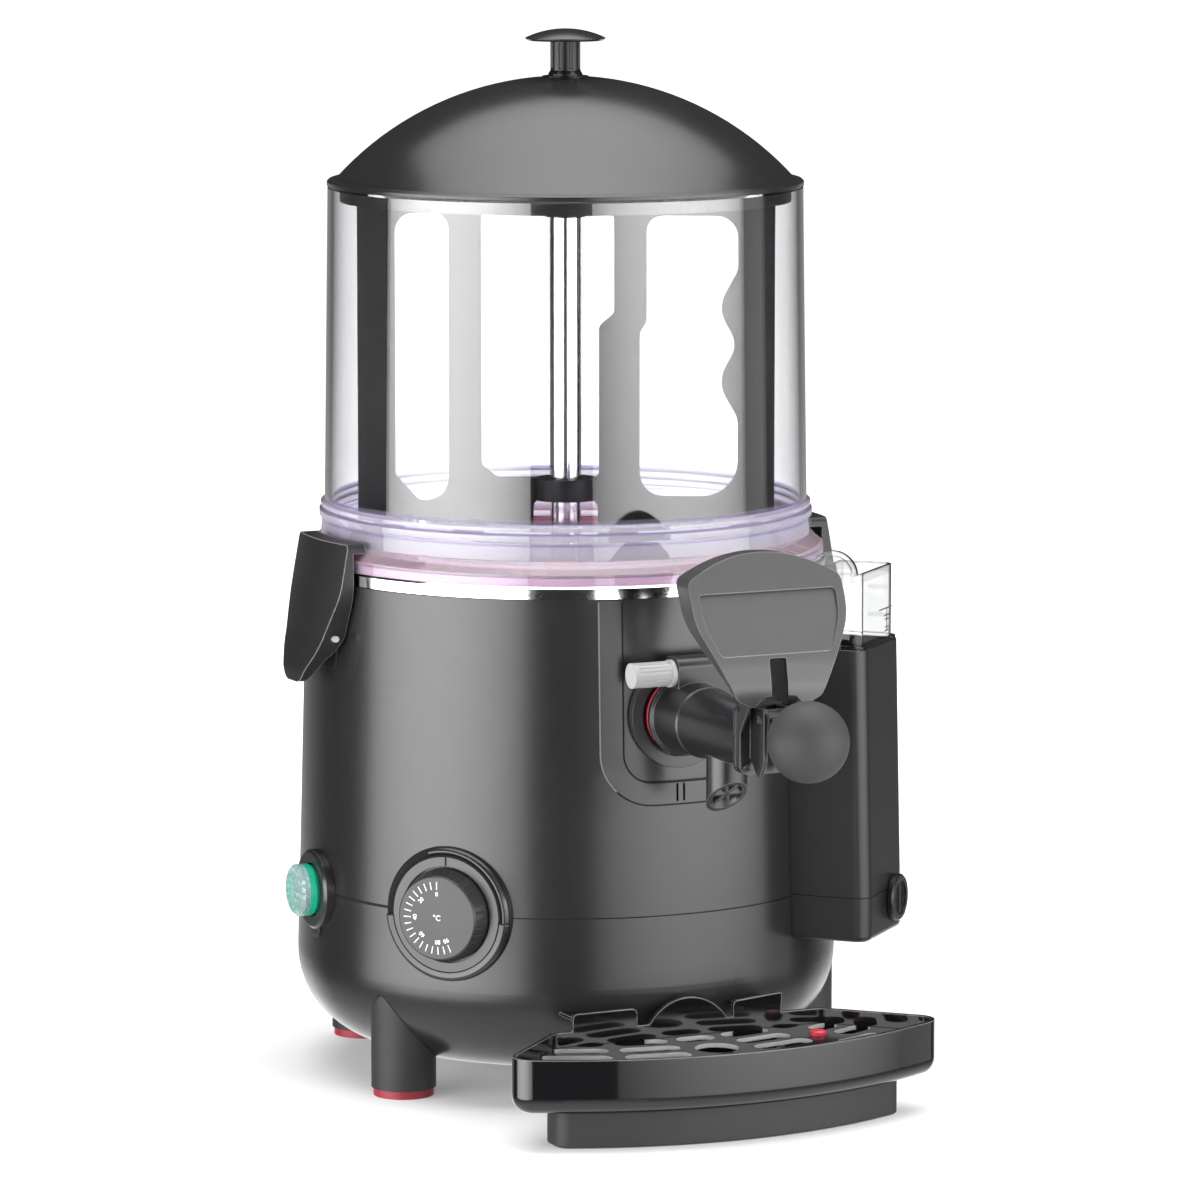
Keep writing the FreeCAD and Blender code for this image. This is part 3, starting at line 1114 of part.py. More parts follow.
def tray_tub():
    """Glossy tray with a rounded underside, two hook plates and a half-round tab along its back."""
    outer = tray_slab(0, TRAY_Z0, TRAY_Z1)
    edges = [e for e in outer.Edges if e.BoundBox.ZMax < TRAY_Z0 + 1e-3]
    outer = outer.makeFillet(TRAY_CURVE, edges)
    inner = tray_slab(TRAY_T, TRAY_Z0 + TRAY_T, TRAY_Z1 + 1)
    inner_edges = [e for e in inner.Edges if e.BoundBox.ZMax < TRAY_Z0 + TRAY_T + 1e-3]
    tub = outer.cut(inner.makeFillet(TRAY_CURVE - TRAY_T, inner_edges))
    y = TRAY_BACK_Y
    tab_r = (TAB_HALF ** 2 + (TAB_TOP_Z - TRAY_Z1) ** 2) / 2 / (TAB_TOP_Z - TRAY_Z1)
    tab = rod(tab_r, V(0, y - TRAY_T, TAB_TOP_Z - tab_r), V(0, y, TAB_TOP_Z - tab_r))
    tab = tab.common(box(-TAB_HALF, TAB_HALF, y - 5, y + 5, TRAY_Z1 - 3, TAB_TOP_Z + 1))
    low = TRAY_Z1 - 3
    plates = [[(-68.5, low), (-30.5, low), (-30.5, HOOK_TOP_Z, 3), (-68.5, HOOK_TOP_Z, 3)],
              [(27, low), (55.5, low), (56.5, HOOK_TOP_Z + 1.5, 1), (27, HOOK_TOP_Z - 1, 3)]]
    hooks = [prism(plate, xz, y - TRAY_T, y) for plate in plates]
    lips = [box(x0, x1, y - 1, -120, HOOK_TOP_Z - 5, HOOK_TOP_Z - 3) for x0, x1 in ((-66, -33), (30, 53))]
    return fused([tub, tab] + [piece.cut(grown_base()) for piece in hooks + lips])


def grown_base():
    """The base with the seat clearance round it."""
    r = BELLY_R + SEAT
    return revolve([(0, BASE_Z - SEAT), (r, BASE_Z - SEAT, BELLY_CURVE), (r, BELLY_Z + 30), (0, BELLY_Z + 30)])


def tray_plinth():
    """Narrower foot under the tray, standing on the table."""
    y_back = TRAY_BACK_Y - 16
    plan = prism([(-PLINTH_HALF, -260), (PLINTH_HALF, -260), (PLINTH_HALF, -192, 12), (70, y_back, 8),
                  (-70, y_back, 8), (-PLINTH_HALF, -192, 12)], xy, 0.3, TRAY_Z0)
    body = plan.common(rod(PLINTH_R, V(0, 0, 0), V(0, 0, TRAY_Z0)))
    uprights = [e for e in body.Edges if e.BoundBox.XLength < 1e-3 and e.BoundBox.ZLength > 10
                and e.BoundBox.YMax < -200]
    body = body.makeFillet(9.0, uprights)
    low = [e for e in body.Edges if e.BoundBox.ZMax < 0.4]
    body = body.makeFillet(1.5, low)
    hollow = body.copy()
    hollow.scale(0.95, V(0, -203, 0))
    hollow.translate(V(0, 0, -2.0))
    return body.cut(hollow)


def slot_shape(radius, start, end, z0, z1):
    """Slot along an arc round the bowl's axis with round ends."""
    half = SLOT_W / 2
    sector = ring(radius + half, radius - half, V(0, 0, z0), V(0, 0, z1))
    a0 = start + math.degrees(half / radius)
    a1 = end - math.degrees(half / radius)
    far = 400.0
    middle = (a0 + a1) / 2
    wedge = prism([(0, 0), tuple(polar(far, a0))[:2], tuple(polar(far, middle))[:2], tuple(polar(far, a1))[:2]],
                  xy, z0, z1)
    ends = [rod(half, polar(radius, a, z0), polar(radius, a, z1)) for a in (a0, a1)]
    return fused([sector.common(wedge)] + ends)


SLOT_SPANS = {0: ((-23.5, -17.8), (-15.8, -5.6), (-3.8, 3.8), (5.6, 15.8), (17.8, 23.5)),
              1: ((-27.3, -17.6), (-15.8, -5.4), (5.4, 15.8), (21.6, 27.3)),
              2: ((-29.0, -17.6), (-15.8, -5.4), (5.4, 15.8), (22.0, 29.0)),
              3: ((-26.0, -17.6), (-15.8, -5.4), (-3.8, 3.8), (5.4, 15.8), (17.6, 26.0))}


def tray_grid():
    """Slotted grid, with a drain hole in the middle and a hole for the float."""
    plate = tray_slab(TRAY_T + 0.5, GRID_Z - GRID_T, GRID_Z)
    cuts = []
    for row, spans in SLOT_SPANS.items():
        for start, end in spans:
            cuts.append(slot_shape(SLOT_ROWS[row], start, end, GRID_Z - 10, GRID_Z + 1))
    centre = polar(DRAIN_HOLE_AT, 0)
    cuts.append(rod(DRAIN_HOLE_R, centre + V(0, 0, GRID_Z - 10), centre + V(0, 0, GRID_Z + 1)))
    at = polar(FLOAT_AT, FLOAT_ANGLE)
    cuts.append(rod(FLOAT_R - 1 + 0.1, at + V(0, 0, GRID_Z - 10), at + V(0, 0, GRID_Z + 1)))
    cuts.append(rod(FLOAT_R + 0.6, at + V(0, 0, GRID_Z - FLOAT_SEAT), at + V(0, 0, GRID_Z + 1)))
    legs = []
    for angle, radius in ((-27.1, 213), (27.1, 213), (-16.8, 175.8), (16.8, 175.8)):
        foot = polar(radius, angle)
        legs.append(rod(2.4, foot + V(0, 0, TRAY_Z0 + TRAY_T + 0.1), foot + V(0, 0, GRID_Z - GRID_T)))
    return fused([plate.cut(group(cuts))] + legs)


def tray_float():
    """Red float whose head rises through the grid when the tray is full."""
    at = polar(FLOAT_AT, FLOAT_ANGLE)
    low = TRAY_Z0 + TRAY_T
    seat = GRID_Z - FLOAT_SEAT + 0.1
    pin = revolve([(0, low + 1), (8, low + 1), (8, low + 8), (FLOAT_R - 1, low + 8), (FLOAT_R - 1, seat),
                   (FLOAT_R, seat), (FLOAT_R, seat + 2.7), (FLOAT_R - 1.4, seat + 3.7), (0, seat + 3.7)])
    pin.translate(at)
    return pin


# ---------------------------------------------------------------- rear of the base
def cable_gland():
    """Gland where the mains lead would enter at the back of the base."""
    z = GLAND_Z
    nut = prism([(10 * math.cos(math.radians(a)), z + 10 * math.sin(math.radians(a)), 1)
                 for a in range(0, 360, 60)], xz, 140, 157)
    neck = rod(6.5, V(0, 157, z), V(0, 163, z))
    bore = rod(GLAND_BORE, V(0, 100, z), V(0, 170, z))
    return fused([nut, neck]).cut(bore).cut(base_solid())


NODES = {
    "lower_housing": lower_housing,
    "upper_housing": upper_housing,
    "tap_surround": tap_surround,
    "feet": feet,
    "foot_pads": foot_pads,
    "bottom_plate": bottom_plate,
    "plate_screws": plate_screws,
    "steel_bowl": steel_bowl,
    "water_jacket": water_jacket,
    "heating_element": heating_element,
    "centre_tube": centre_tube,
    "tube_bushes": tube_bushes,
    "drive_shaft": drive_shaft,
    "gear_motor": gear_motor,
    "motor_bracket": motor_bracket,
    "container": container,
    "container_gasket": container_gasket,
    "paddle": paddle,
    "tube_seal": tube_seal,
    "lid": lid,
    "lid_knob": lid_knob,
    "lid_screw": lid_screw,
    "latch_brackets": latch_brackets,
    "latch_pins": latch_pins,
    "latch_lever_left": latch_lever_left,
    "latch_lever_right": latch_lever,
    "dial_bezel": dial_bezel,
    "dial_knob": dial_knob,
    "dial_shaft": dial_shaft,
    "thermostat": thermostat,
    "switch_ring": switch_ring,
    "switch_button": switch_button,
    "switch_lens": switch_lens,
    "switch_body": switch_body,
    "tap_collar": tap_collar,
    "tap_o_ring": tap_o_ring,
    "tap_barrel": tap_barrel,
    "locking_pin": locking_pin,
    "tap_cap": tap_cap,
    "cap_screws": cap_screws,
    "piston": piston,
    "piston_rings": piston_rings,
    "tap_lever": tap_lever,
    "lever_pin": lever_pin,
    "ball_knob": ball_knob,
    "shield": shield,
    "tank_body": tank_body,
    "tank_foot": tank_foot,
    "drain_plug": drain_plug,
    "filler_cup": filler_cup,
    "tray_tub": tray_tub,
    "tray_plinth": tray_plinth,
    "tray_grid": tray_grid,
    "tray_float": tray_float,
    "cable_gland": cable_gland,
}


def main():
    os.makedirs("parts", exist_ok=True)
    shapes = {name: make() for name, make in NODES.items()}
    for name, shape in shapes.items():
        print(name, "solids", len(shape.Solids), "valid", shape.isValid(), "volume", round(shape.Volume))
        shape.exportStep(f"parts/{name}.step")


main()
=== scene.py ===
"""Hot chocolate dispenser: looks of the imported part, its camera and its studio."""
import json
import math
import bpy
import bmesh
from mathutils import Matrix, Vector


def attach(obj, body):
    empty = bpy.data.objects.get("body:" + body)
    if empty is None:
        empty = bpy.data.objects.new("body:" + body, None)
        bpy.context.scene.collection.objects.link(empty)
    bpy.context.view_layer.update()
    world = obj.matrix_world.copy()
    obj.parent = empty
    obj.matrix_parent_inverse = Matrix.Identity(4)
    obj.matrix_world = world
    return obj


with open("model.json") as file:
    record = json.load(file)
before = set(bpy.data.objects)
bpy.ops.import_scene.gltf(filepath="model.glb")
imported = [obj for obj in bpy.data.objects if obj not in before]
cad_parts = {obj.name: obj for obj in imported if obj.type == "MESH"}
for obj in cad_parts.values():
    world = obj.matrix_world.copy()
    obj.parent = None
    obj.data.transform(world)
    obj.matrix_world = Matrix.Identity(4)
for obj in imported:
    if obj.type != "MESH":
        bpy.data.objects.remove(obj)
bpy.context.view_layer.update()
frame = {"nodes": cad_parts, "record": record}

NODES = frame["nodes"]
MM = 0.001

# ---------------------------------------------------------------- camera
CAM_TURN = math.radians(-25.0)
CAM_DROP = math.radians(7.93)
CAM_PLACE = (-1.4069, -3.0623, 0.7286)
camera_data = bpy.data.cameras.new("camera")
camera_data.lens = 183.0
camera_data.sensor_width = 36.0
camera_data.clip_end = 60.0
camera = bpy.data.objects.new("camera", camera_data)
camera.location = CAM_PLACE
camera.rotation_euler = (math.pi / 2 - CAM_DROP, 0.0, CAM_TURN)
bpy.context.scene.collection.objects.link(camera)
bpy.context.scene.camera = camera

UP = Vector((0, 0, 1))
AWAY = Vector((0.4226, 0.9063, 0.0))      # level direction from the camera to the object
RIGHT = Vector((0.9063, -0.4226, 0.0))    # to the right as the camera sees it


def toward(angle):
    """Level direction from the object, an angle in degrees right of the camera."""
    a = math.radians(angle)
    return RIGHT * math.sin(a) - AWAY * math.cos(a)


# ---------------------------------------------------------------- shader nodes
def feed(tree, value, socket):
    """Set a socket to a value, or link another node's output to it."""
    if isinstance(value, bpy.types.NodeSocket):
        tree.links.new(value, socket)
    else:
        socket.default_value = value


def math_node(tree, operation, *values, clamp=False):
    """Sum, product or the like of values that are sockets or numbers."""
    node = tree.nodes.new("ShaderNodeMath")
    node.operation = operation
    node.use_clamp = clamp
    for value, socket in zip(values, node.inputs):
        feed(tree, value, socket)
    return node.outputs[0]


def spread(tree, value, low, high, start=0.3, stop=0.7):
    """Run from low to high while a value runs from start to stop."""
    node = tree.nodes.new("ShaderNodeMapRange")
    for key, bound in (("From Min", start), ("From Max", stop), ("To Min", low), ("To Max", high)):
        node.inputs[key].default_value = bound
    tree.links.new(value, node.inputs["Value"])
    return node.outputs[0]


def mixed(tree, factor, first, second, blend="MIX"):
    """Mix two colours, each of them a socket or plain red, green and blue."""
    node = tree.nodes.new("ShaderNodeMix")
    node.data_type = "RGBA"
    node.blend_type = blend
    tree.links.new(factor, node.inputs["Factor"])
    for key, tone in (("A", first), ("B", second)):
        feed(tree, (*tone, 1) if isinstance(tone, (tuple, list)) else tone, node.inputs[key])
    return node.outputs["Result"]


def axes(tree, vector):
    """Sockets X, Y and Z of a vector."""
    node = tree.nodes.new("ShaderNodeSeparateXYZ")
    tree.links.new(vector, node.inputs[0])
    return node.outputs


def dot_product(tree, vector, other):
    """Dot product of a socket with another socket or a plain vector."""
    node = tree.nodes.new("ShaderNodeVectorMath")
    node.operation = "DOT_PRODUCT"
    tree.links.new(vector, node.inputs[0])
    feed(tree, other, node.inputs[1])
    return node.outputs["Value"]


def own_place(tree):
    """Place of a point in the piece's own coordinates, in metres."""
    return tree.nodes.new("ShaderNodeTexCoord").outputs["Object"]


def facing(tree, kind="True Normal"):
    """Direction that the surface faces."""
    return tree.nodes.new("ShaderNodeNewGeometry").outputs[kind]


# ---------------------------------------------------------------- lamps
PANEL_DISTANCE = 1.7    # metres from the bowl's axis
PANEL_FOOT = -0.38
PANEL_HEAD = 0.47


def lamp(name, centre, aim, width, height, radiance, up=UP, rim=1.0, foot=1.0):
    """Softbox whose light falls to a share, rim, at its sides and to a share, foot, at its foot."""
    data = bpy.data.lights.new(name, "AREA")
    data.shape = "RECTANGLE"
    data.size = width
    data.size_y = height
    data.energy = math.pi * width * height
    data.use_nodes = True
    tree = data.node_tree
    glow = [n for n in tree.nodes if n.type == "EMISSION"][0]
    across = axes(tree, facing(tree, "Parametric"))
    wave = math_node(tree, "SINE", math_node(tree, "MULTIPLY", across["X"], math.pi))
    bell = math_node(tree, "MULTIPLY_ADD", wave, radiance * (1 - rim), radiance * rim)
    rise = math_node(tree, "MULTIPLY_ADD", across["Y"], 1 - foot, foot)
    tree.links.new(math_node(tree, "MULTIPLY", bell, rise), glow.inputs["Strength"])
    obj = bpy.data.objects.new(name, data)
    back = (centre - aim).normalized()
    side = up.cross(back).normalized()
    top = back.cross(side)
    turn = Matrix((side, top, back)).transposed()
    obj.matrix_world = Matrix.Translation(centre) @ turn.to_4x4()
    obj.visible_camera = False
    bpy.context.scene.collection.objects.link(obj)


def side_panel(name, angle_0, angle_1, radiance, rim, foot):
    """Upright soft panel between two directions round the object, in degrees."""
    a = toward(angle_0) * PANEL_DISTANCE
    b = toward(angle_1) * PANEL_DISTANCE
    centre = (a + b) / 2
    centre.z = (PANEL_FOOT + PANEL_HEAD) / 2
    aim = Vector((0, 0, centre.z))
    lamp(name, centre, aim, (a - b).length, PANEL_HEAD - PANEL_FOOT, radiance, rim=rim, foot=foot)


side_panel("panel_left", -91.0, -15.6, radiance=10.6, rim=0.36, foot=0.55)
side_panel("panel_right", 12.6, 92.0, radiance=8.6, rim=0.38, foot=0.1)
side_panel("panel_end", 92.0, 108.0, radiance=0.7, rim=1.0, foot=1.0)
front_centre = toward(53.8) * 1.15 + Vector((0, -0.2, 0.98))
front_aim = Vector((0, -0.25, 0.28))
lamp("panel_front", front_centre, front_aim, width=0.8, height=0.6, radiance=4.0, rim=0.5)
top_centre = RIGHT * 0.1 + AWAY * 0.4 + Vector((0, 0, 1.92))
lamp("panel_top", top_centre, top_centre - UP, width=2.4, height=2.2, radiance=1.3, up=AWAY,
     rim=0.6, foot=5.5)

# ---------------------------------------------------------------- world and floor
WORLD_FILL = 0.22             # light on matt faces
WORLD_MIRRORED = 0.03         # what gloss mirrors above and beside the object
WORLD_BELOW = 1.2             # what gloss mirrors straight below it
WORLD_BEHIND = 0.8            # what gloss mirrors low down beyond it
# Slopes of directions run from -1 straight down to 1 straight up.
BELOW_SLOPES = (-0.25, -0.7)
HORIZON_SLOPE = -0.02
# The light low down beyond the object grows with depth, and falls off further down.
DEEP_SHARES, DEEP_SLOPES = (0.45, 2.2), (-0.15, -0.3)
STEEP_SHARES, STEEP_SLOPES = (1.0, 0.45), (-0.36, -0.52)
BEHIND_SPAN = (0.6, 0.95)     # how nearly a direction points away from the camera

FLOOR_RADIUS = 30.0
FLOOR_TONE = (0.75, 0.75, 0.75)
FLOOR_GLOWS, FLOOR_REACH = (0.22, 1.0), (0.45, 1.3)    # own light at distances in metres


def straight_look(tree, path):
    """1 for what is seen directly or through clear walls, and 0 after any bounce."""
    sight = (path.outputs["Is Camera Ray"], path.outputs["Is Transmission Ray"])
    looked = math_node(tree, "MAXIMUM", *sight)
    bounces = (path.outputs["Glossy Depth"], path.outputs["Diffuse Depth"])
    bounced = math_node(tree, "ADD", *bounces, clamp=True)
    return math_node(tree, "SUBTRACT", looked, bounced, clamp=True)


def mirror_light(tree):
    """Light that gloss mirrors: dim round about, brighter below and low down behind."""
    direction = tree.nodes.new("ShaderNodeTexCoord").outputs["Generated"]
    slope = axes(tree, direction)["Z"]
    below = spread(tree, slope, WORLD_MIRRORED, WORLD_BELOW, *BELOW_SLOPES)
    behind = spread(tree, dot_product(tree, direction, AWAY), 0.0, 1.0, *BEHIND_SPAN)
    deep = spread(tree, slope, *DEEP_SHARES, *DEEP_SLOPES)
    steep = spread(tree, slope, *STEEP_SHARES, *STEEP_SLOPES)
    low = math_node(tree, "LESS_THAN", slope, HORIZON_SLOPE)
    low = math_node(tree, "MULTIPLY", low, math_node(tree, "MULTIPLY", deep, steep))
    beyond = math_node(tree, "MULTIPLY", math_node(tree, "MULTIPLY", behind, low), WORLD_BEHIND)
    return math_node(tree, "ADD", below, beyond)


def studio_world():
    """White ground for the eye, a soft fill for matt faces and a dim room for gloss."""
    world = bpy.data.worlds.new("world")
    bpy.context.scene.world = world
    world.use_nodes = True
    tree = world.node_tree
    tree.nodes.clear()
    path = tree.nodes.new("ShaderNodeLightPath")
    look = straight_look(tree, path)
    mirrored = math_node(tree, "MINIMUM", path.outputs["Glossy Depth"], 1.0)
    shades = []
    for strength in (WORLD_FILL, mirror_light(tree), 1.0):
        node = tree.nodes.new("ShaderNodeBackground")
        node.inputs["Color"].default_value = (1, 1, 1, 1)
        feed(tree, strength, node.inputs["Strength"])
        shades.append(node.outputs[0])
    shown = shades[0]
    for factor, shade in ((mirrored, shades[1]), (look, shades[2])):
        mix = tree.nodes.new("ShaderNodeMixShader")
        for value, socket in zip((factor, shown, shade), mix.inputs):
            tree.links.new(value, socket)
        shown = mix.outputs[0]
    end = tree.nodes.new("ShaderNodeOutputWorld")
    tree.links.new(shown, end.inputs["Surface"])


def floor():
    """Pale table that keeps the object's shadow and fades into the white ground."""
    mesh = bpy.data.meshes.new("floor")
    work = bmesh.new()
    bmesh.ops.create_circle(work, cap_ends=True, segments=96, radius=FLOOR_RADIUS)
    work.to_mesh(mesh)
    work.free()
    obj = bpy.data.objects.new("floor", mesh)
    bpy.context.scene.collection.objects.link(obj)
    mat = bpy.data.materials.new("floor_white")
    mat.use_nodes = True
    tree = mat.node_tree
    tree.nodes.clear()
    diffuse = tree.nodes.new("ShaderNodeBsdfDiffuse")
    diffuse.inputs["Color"].default_value = (*FLOOR_TONE, 1)
    length = tree.nodes.new("ShaderNodeVectorMath")
    length.operation = "LENGTH"
    tree.links.new(own_place(tree), length.inputs[0])
    far = spread(tree, length.outputs["Value"], *FLOOR_GLOWS, *FLOOR_REACH)
    look = straight_look(tree, tree.nodes.new("ShaderNodeLightPath"))
    glow = tree.nodes.new("ShaderNodeEmission")
    tree.links.new(math_node(tree, "MULTIPLY", far, look), glow.inputs["Strength"])
    both = tree.nodes.new("ShaderNodeAddShader")
    tree.links.new(diffuse.outputs[0], both.inputs[0])
    tree.links.new(glow.outputs[0], both.inputs[1])
    end = tree.nodes.new("ShaderNodeOutputMaterial")
    tree.links.new(both.outputs[0], end.inputs["Surface"])
    mesh.materials.append(mat)
    obj.visible_glossy = False


studio_world()
floor()


# ---------------------------------------------------------------- materials
ROUGH_VARY = 0.02      # roughness comes and goes by this much on plastic
STEEL_GRAIN = 0.004    # millimetres
THROUGH_TONE = (0.9, 0.9, 0.92)    # lamps' light behind a clear wall
EDGE_TURNS = (0.9, 0.995)          # rounded normal against the true one, at an edge and off it


def shader(name):
    """New material with nothing but a principled shader."""
    mat = bpy.data.materials.new(name)
    mat.use_nodes = True
    tree = mat.node_tree
    tree.nodes.clear()
    bsdf = tree.nodes.new("ShaderNodeBsdfPrincipled")
    end = tree.nodes.new("ShaderNodeOutputMaterial")
    tree.links.new(bsdf.outputs[0], end.inputs["Surface"])
    return mat, tree, bsdf


def opened(mat):
    """Node tree and principled shader of a material."""
    tree = mat.node_tree
    return tree, [n for n in tree.nodes if n.type == "BSDF_PRINCIPLED"][0]


def noise(tree, scale, detail=3.0, rough=0.5):
    """Noise in the piece's own coordinates; scale is features per metre."""
    tex = tree.nodes.new("ShaderNodeTexNoise")
    tex.inputs["Scale"].default_value = scale
    tex.inputs["Detail"].default_value = detail
    tex.inputs["Roughness"].default_value = rough
    tree.links.new(own_place(tree), tex.inputs["Vector"])
    return tex.outputs["Fac"]


def soft_edge(tree, radius):
    """Normal that rounds the edges off, by a radius in metres."""
    node = tree.nodes.new("ShaderNodeBevel")
    node.samples = 4
    node.inputs["Radius"].default_value = radius
    return node.outputs[0]


def edges(tree, radius):
    """1 along edges and corners, 0 on open faces."""
    level = dot_product(tree, soft_edge(tree, radius), facing(tree, "Normal"))
    return spread(tree, level, 1.0, 0.0, *EDGE_TURNS)


def bumped(tree, relief, depth, strength, normal=None):
    """Normal of a relief that is a depth in metres high."""
    node = tree.nodes.new("ShaderNodeBump")
    node.inputs["Distance"].default_value = depth
    node.inputs["Strength"].default_value = strength
    tree.links.new(relief, node.inputs["Height"])
    if normal is not None:
        tree.links.new(normal, node.inputs["Normal"])
    return node.outputs[0]


def plastic(name, tone, rough, specular=0.5, grain=0.0, grain_scale=1500.0, edge=0.5, vary=0.06):
    """Moulded plastic: fine spark-eroded grain, cloudy gloss and softened edges.

    The grain's depth and the edge's radius are in millimetres.
    """
    mat, tree, bsdf = shader(name)
    cloud = noise(tree, 38.0, 4.0, 0.6)
    dark = [c * (1 - vary) for c in tone]
    light = [c * (1 + vary) for c in tone]
    tree.links.new(mixed(tree, spread(tree, cloud, 0, 1), dark, light), bsdf.inputs["Base Color"])
    smear = noise(tree, 90.0, 5.0, 0.65)
    gloss = spread(tree, smear, rough - ROUGH_VARY, rough + ROUGH_VARY)
    tree.links.new(gloss, bsdf.inputs["Roughness"])
    bsdf.inputs["Specular IOR Level"].default_value = specular
    normal = soft_edge(tree, edge * MM) if edge else None
    if grain:
        fine = noise(tree, grain_scale, 2.0, 0.6)
        normal = bumped(tree, fine, grain * MM, 0.6, normal)
    if normal is not None:
        tree.links.new(normal, bsdf.inputs["Normal"])
    return mat


def steel(name, tone, rough):
    """Bare steel with a faint grain."""
    mat, tree, bsdf = shader(name)
    bsdf.inputs["Metallic"].default_value = 1.0
    cloud = noise(tree, 60.0)
    dark = [c * 0.95 for c in tone]
    tree.links.new(mixed(tree, spread(tree, cloud, 0, 1), dark, tone), bsdf.inputs["Base Color"])
    smear = noise(tree, 400.0, 4.0, 0.6)
    tree.links.new(spread(tree, smear, rough * 0.7, rough * 1.3), bsdf.inputs["Roughness"])
    fine = noise(tree, 900.0, 2.0)
    tree.links.new(bumped(tree, fine, STEEL_GRAIN * MM, 0.5), bsdf.inputs["Normal"])
    return mat


def clear(name, tone, rough=0.02, ior=1.46):
    """Clear moulded plastic: bends light, mirrors the studio, and lets lamps reach the inside."""
    mat, tree, bsdf = shader(name)
    bsdf.inputs["Base Color"].default_value = (*tone, 1)
    bsdf.inputs["Transmission Weight"].default_value = 1.0
    bsdf.inputs["IOR"].default_value = ior
    haze = noise(tree, 22.0)
    tree.links.new(spread(tree, haze, rough * 0.5, rough * 1.5), bsdf.inputs["Roughness"])
    path = tree.nodes.new("ShaderNodeLightPath")
    through = tree.nodes.new("ShaderNodeBsdfTransparent")
    through.inputs["Color"].default_value = (*THROUGH_TONE, 1)
    mix = tree.nodes.new("ShaderNodeMixShader")
    tree.links.new(path.outputs["Is Shadow Ray"], mix.inputs[0])
    tree.links.new(bsdf.outputs[0], mix.inputs[1])
    tree.links.new(through.outputs[0], mix.inputs[2])
    end = [n for n in tree.nodes if n.type == "OUTPUT_MATERIAL"][0]
    tree.links.new(mix.outputs[0], end.inputs["Surface"])
    return mat


# ---------------------------------------------------------------- special finishes, and painted light and shade
FOOT_LEVELS = (0.286, 0.322)          # the container's foot ring, in metres above the table
FOOT_CLEARS = (0.316, 0.3205)         # where it turns as clear as the wall above
FOOT_CLOUDED = 0.76                   # share of light that passes straight through below
# Colours up the foot ring: its own milky violet tint, with painted light in the pale bands, painted
# shade in the dark violet lines at its ridges, and a painted pink band for the red gasket seen
# through it.
FOOT_TINT_AND_PAINTED_LIGHT = (
    (0.0, (0.74, 0.66, 0.78)), (0.12, (0.70, 0.62, 0.78)), (0.2, (0.82, 0.66, 0.74)),
    (0.45, (0.76, 0.74, 0.84)), (0.55, (0.76, 0.74, 0.84)), (0.58, (0.42, 0.34, 0.62)),
    (0.62, (0.84, 0.82, 0.90)), (0.72, (0.76, 0.74, 0.84)), (0.75, (0.40, 0.33, 0.60)),
    (0.79, (0.84, 0.83, 0.89)), (0.88, (0.72, 0.69, 0.82)), (0.91, (0.38, 0.31, 0.58)),
    (0.95, (0.985, 0.982, 0.995)))
PRISMS_PER_METRE = 300.0
PRISM_DEPTH = 1.2                     # millimetres
LIP_BLEND = 0.6                       # millimetres
# Painted shade for the inside and slot of a shell: a near-black tone and a matt roughness.
INNER_SHADE_TONE = (0.002, 0.002, 0.002)
INNER_SHADE_ROUGH = 0.95
INWARD = -0.002                       # metres off the middle times how far a face turns to it
BACKWARD = 0.15                       # how far a face turns to the back
CORNER_BLEND = 0.7                    # millimetres
WALL_TILTS = (0.3, 0.6)               # upright and level ends of a slot wall's slope


def milky_foot(mat):
    """Thick lower ring of the container: milky violet, with painted light and shade in bands up it:
    pale bands, dark violet lines where its ridges stand, and a pink band for the gasket behind.
    """
    tree, bsdf = opened(mat)
    level = axes(tree, own_place(tree))["Z"]
    ramp = tree.nodes.new("ShaderNodeValToRGB")
    while len(ramp.color_ramp.elements) < len(FOOT_TINT_AND_PAINTED_LIGHT):
        ramp.color_ramp.elements.new(0.5)
    for element, (at, tone) in zip(ramp.color_ramp.elements, FOOT_TINT_AND_PAINTED_LIGHT):
        element.position = at
        element.color = (*tone, 1)
    tree.links.new(spread(tree, level, 0.0, 1.0, *FOOT_LEVELS), ramp.inputs["Fac"])
    # Painted light and shade in bands up the foot ring.
    tree.links.new(ramp.outputs["Color"], bsdf.inputs["Base Color"])
    share = spread(tree, level, FOOT_CLOUDED, 1.0, *FOOT_CLEARS)
    tree.links.new(share, bsdf.inputs["Transmission Weight"])
    return mat


def cloudy(mat, share):
    """Lens whose moulding lets only a share of the light straight through."""
    bsdf = opened(mat)[1]
    bsdf.inputs["Transmission Weight"].default_value = share
    return mat


def faceted(mat):
    """Lens with a field of small prisms behind its face."""
    tree, bsdf = opened(mat)
    cells = tree.nodes.new("ShaderNodeTexVoronoi")
    cells.inputs["Scale"].default_value = PRISMS_PER_METRE
    tree.links.new(own_place(tree), cells.inputs["Vector"])
    prisms = bumped(tree, cells.outputs["Distance"], PRISM_DEPTH * MM, 0.7)
    tree.links.new(prisms, bsdf.inputs["Normal"])
    return mat


def lipped(mat, level, share):
    """Cup whose thick lip and grip pass less light than its walls, from a level in mm up."""
    tree, bsdf = opened(mat)
    tone = bsdf.inputs["Base Color"].links[0].from_socket
    height = axes(tree, own_place(tree))["Z"]
    lip = spread(tree, height, 0.0, 1.0, (level - LIP_BLEND) * MM, level * MM)
    dimmed = mixed(tree, lip, tone, (share, share, share), "MULTIPLY")
    tree.links.new(dimmed, bsdf.inputs["Base Color"])
    return mat


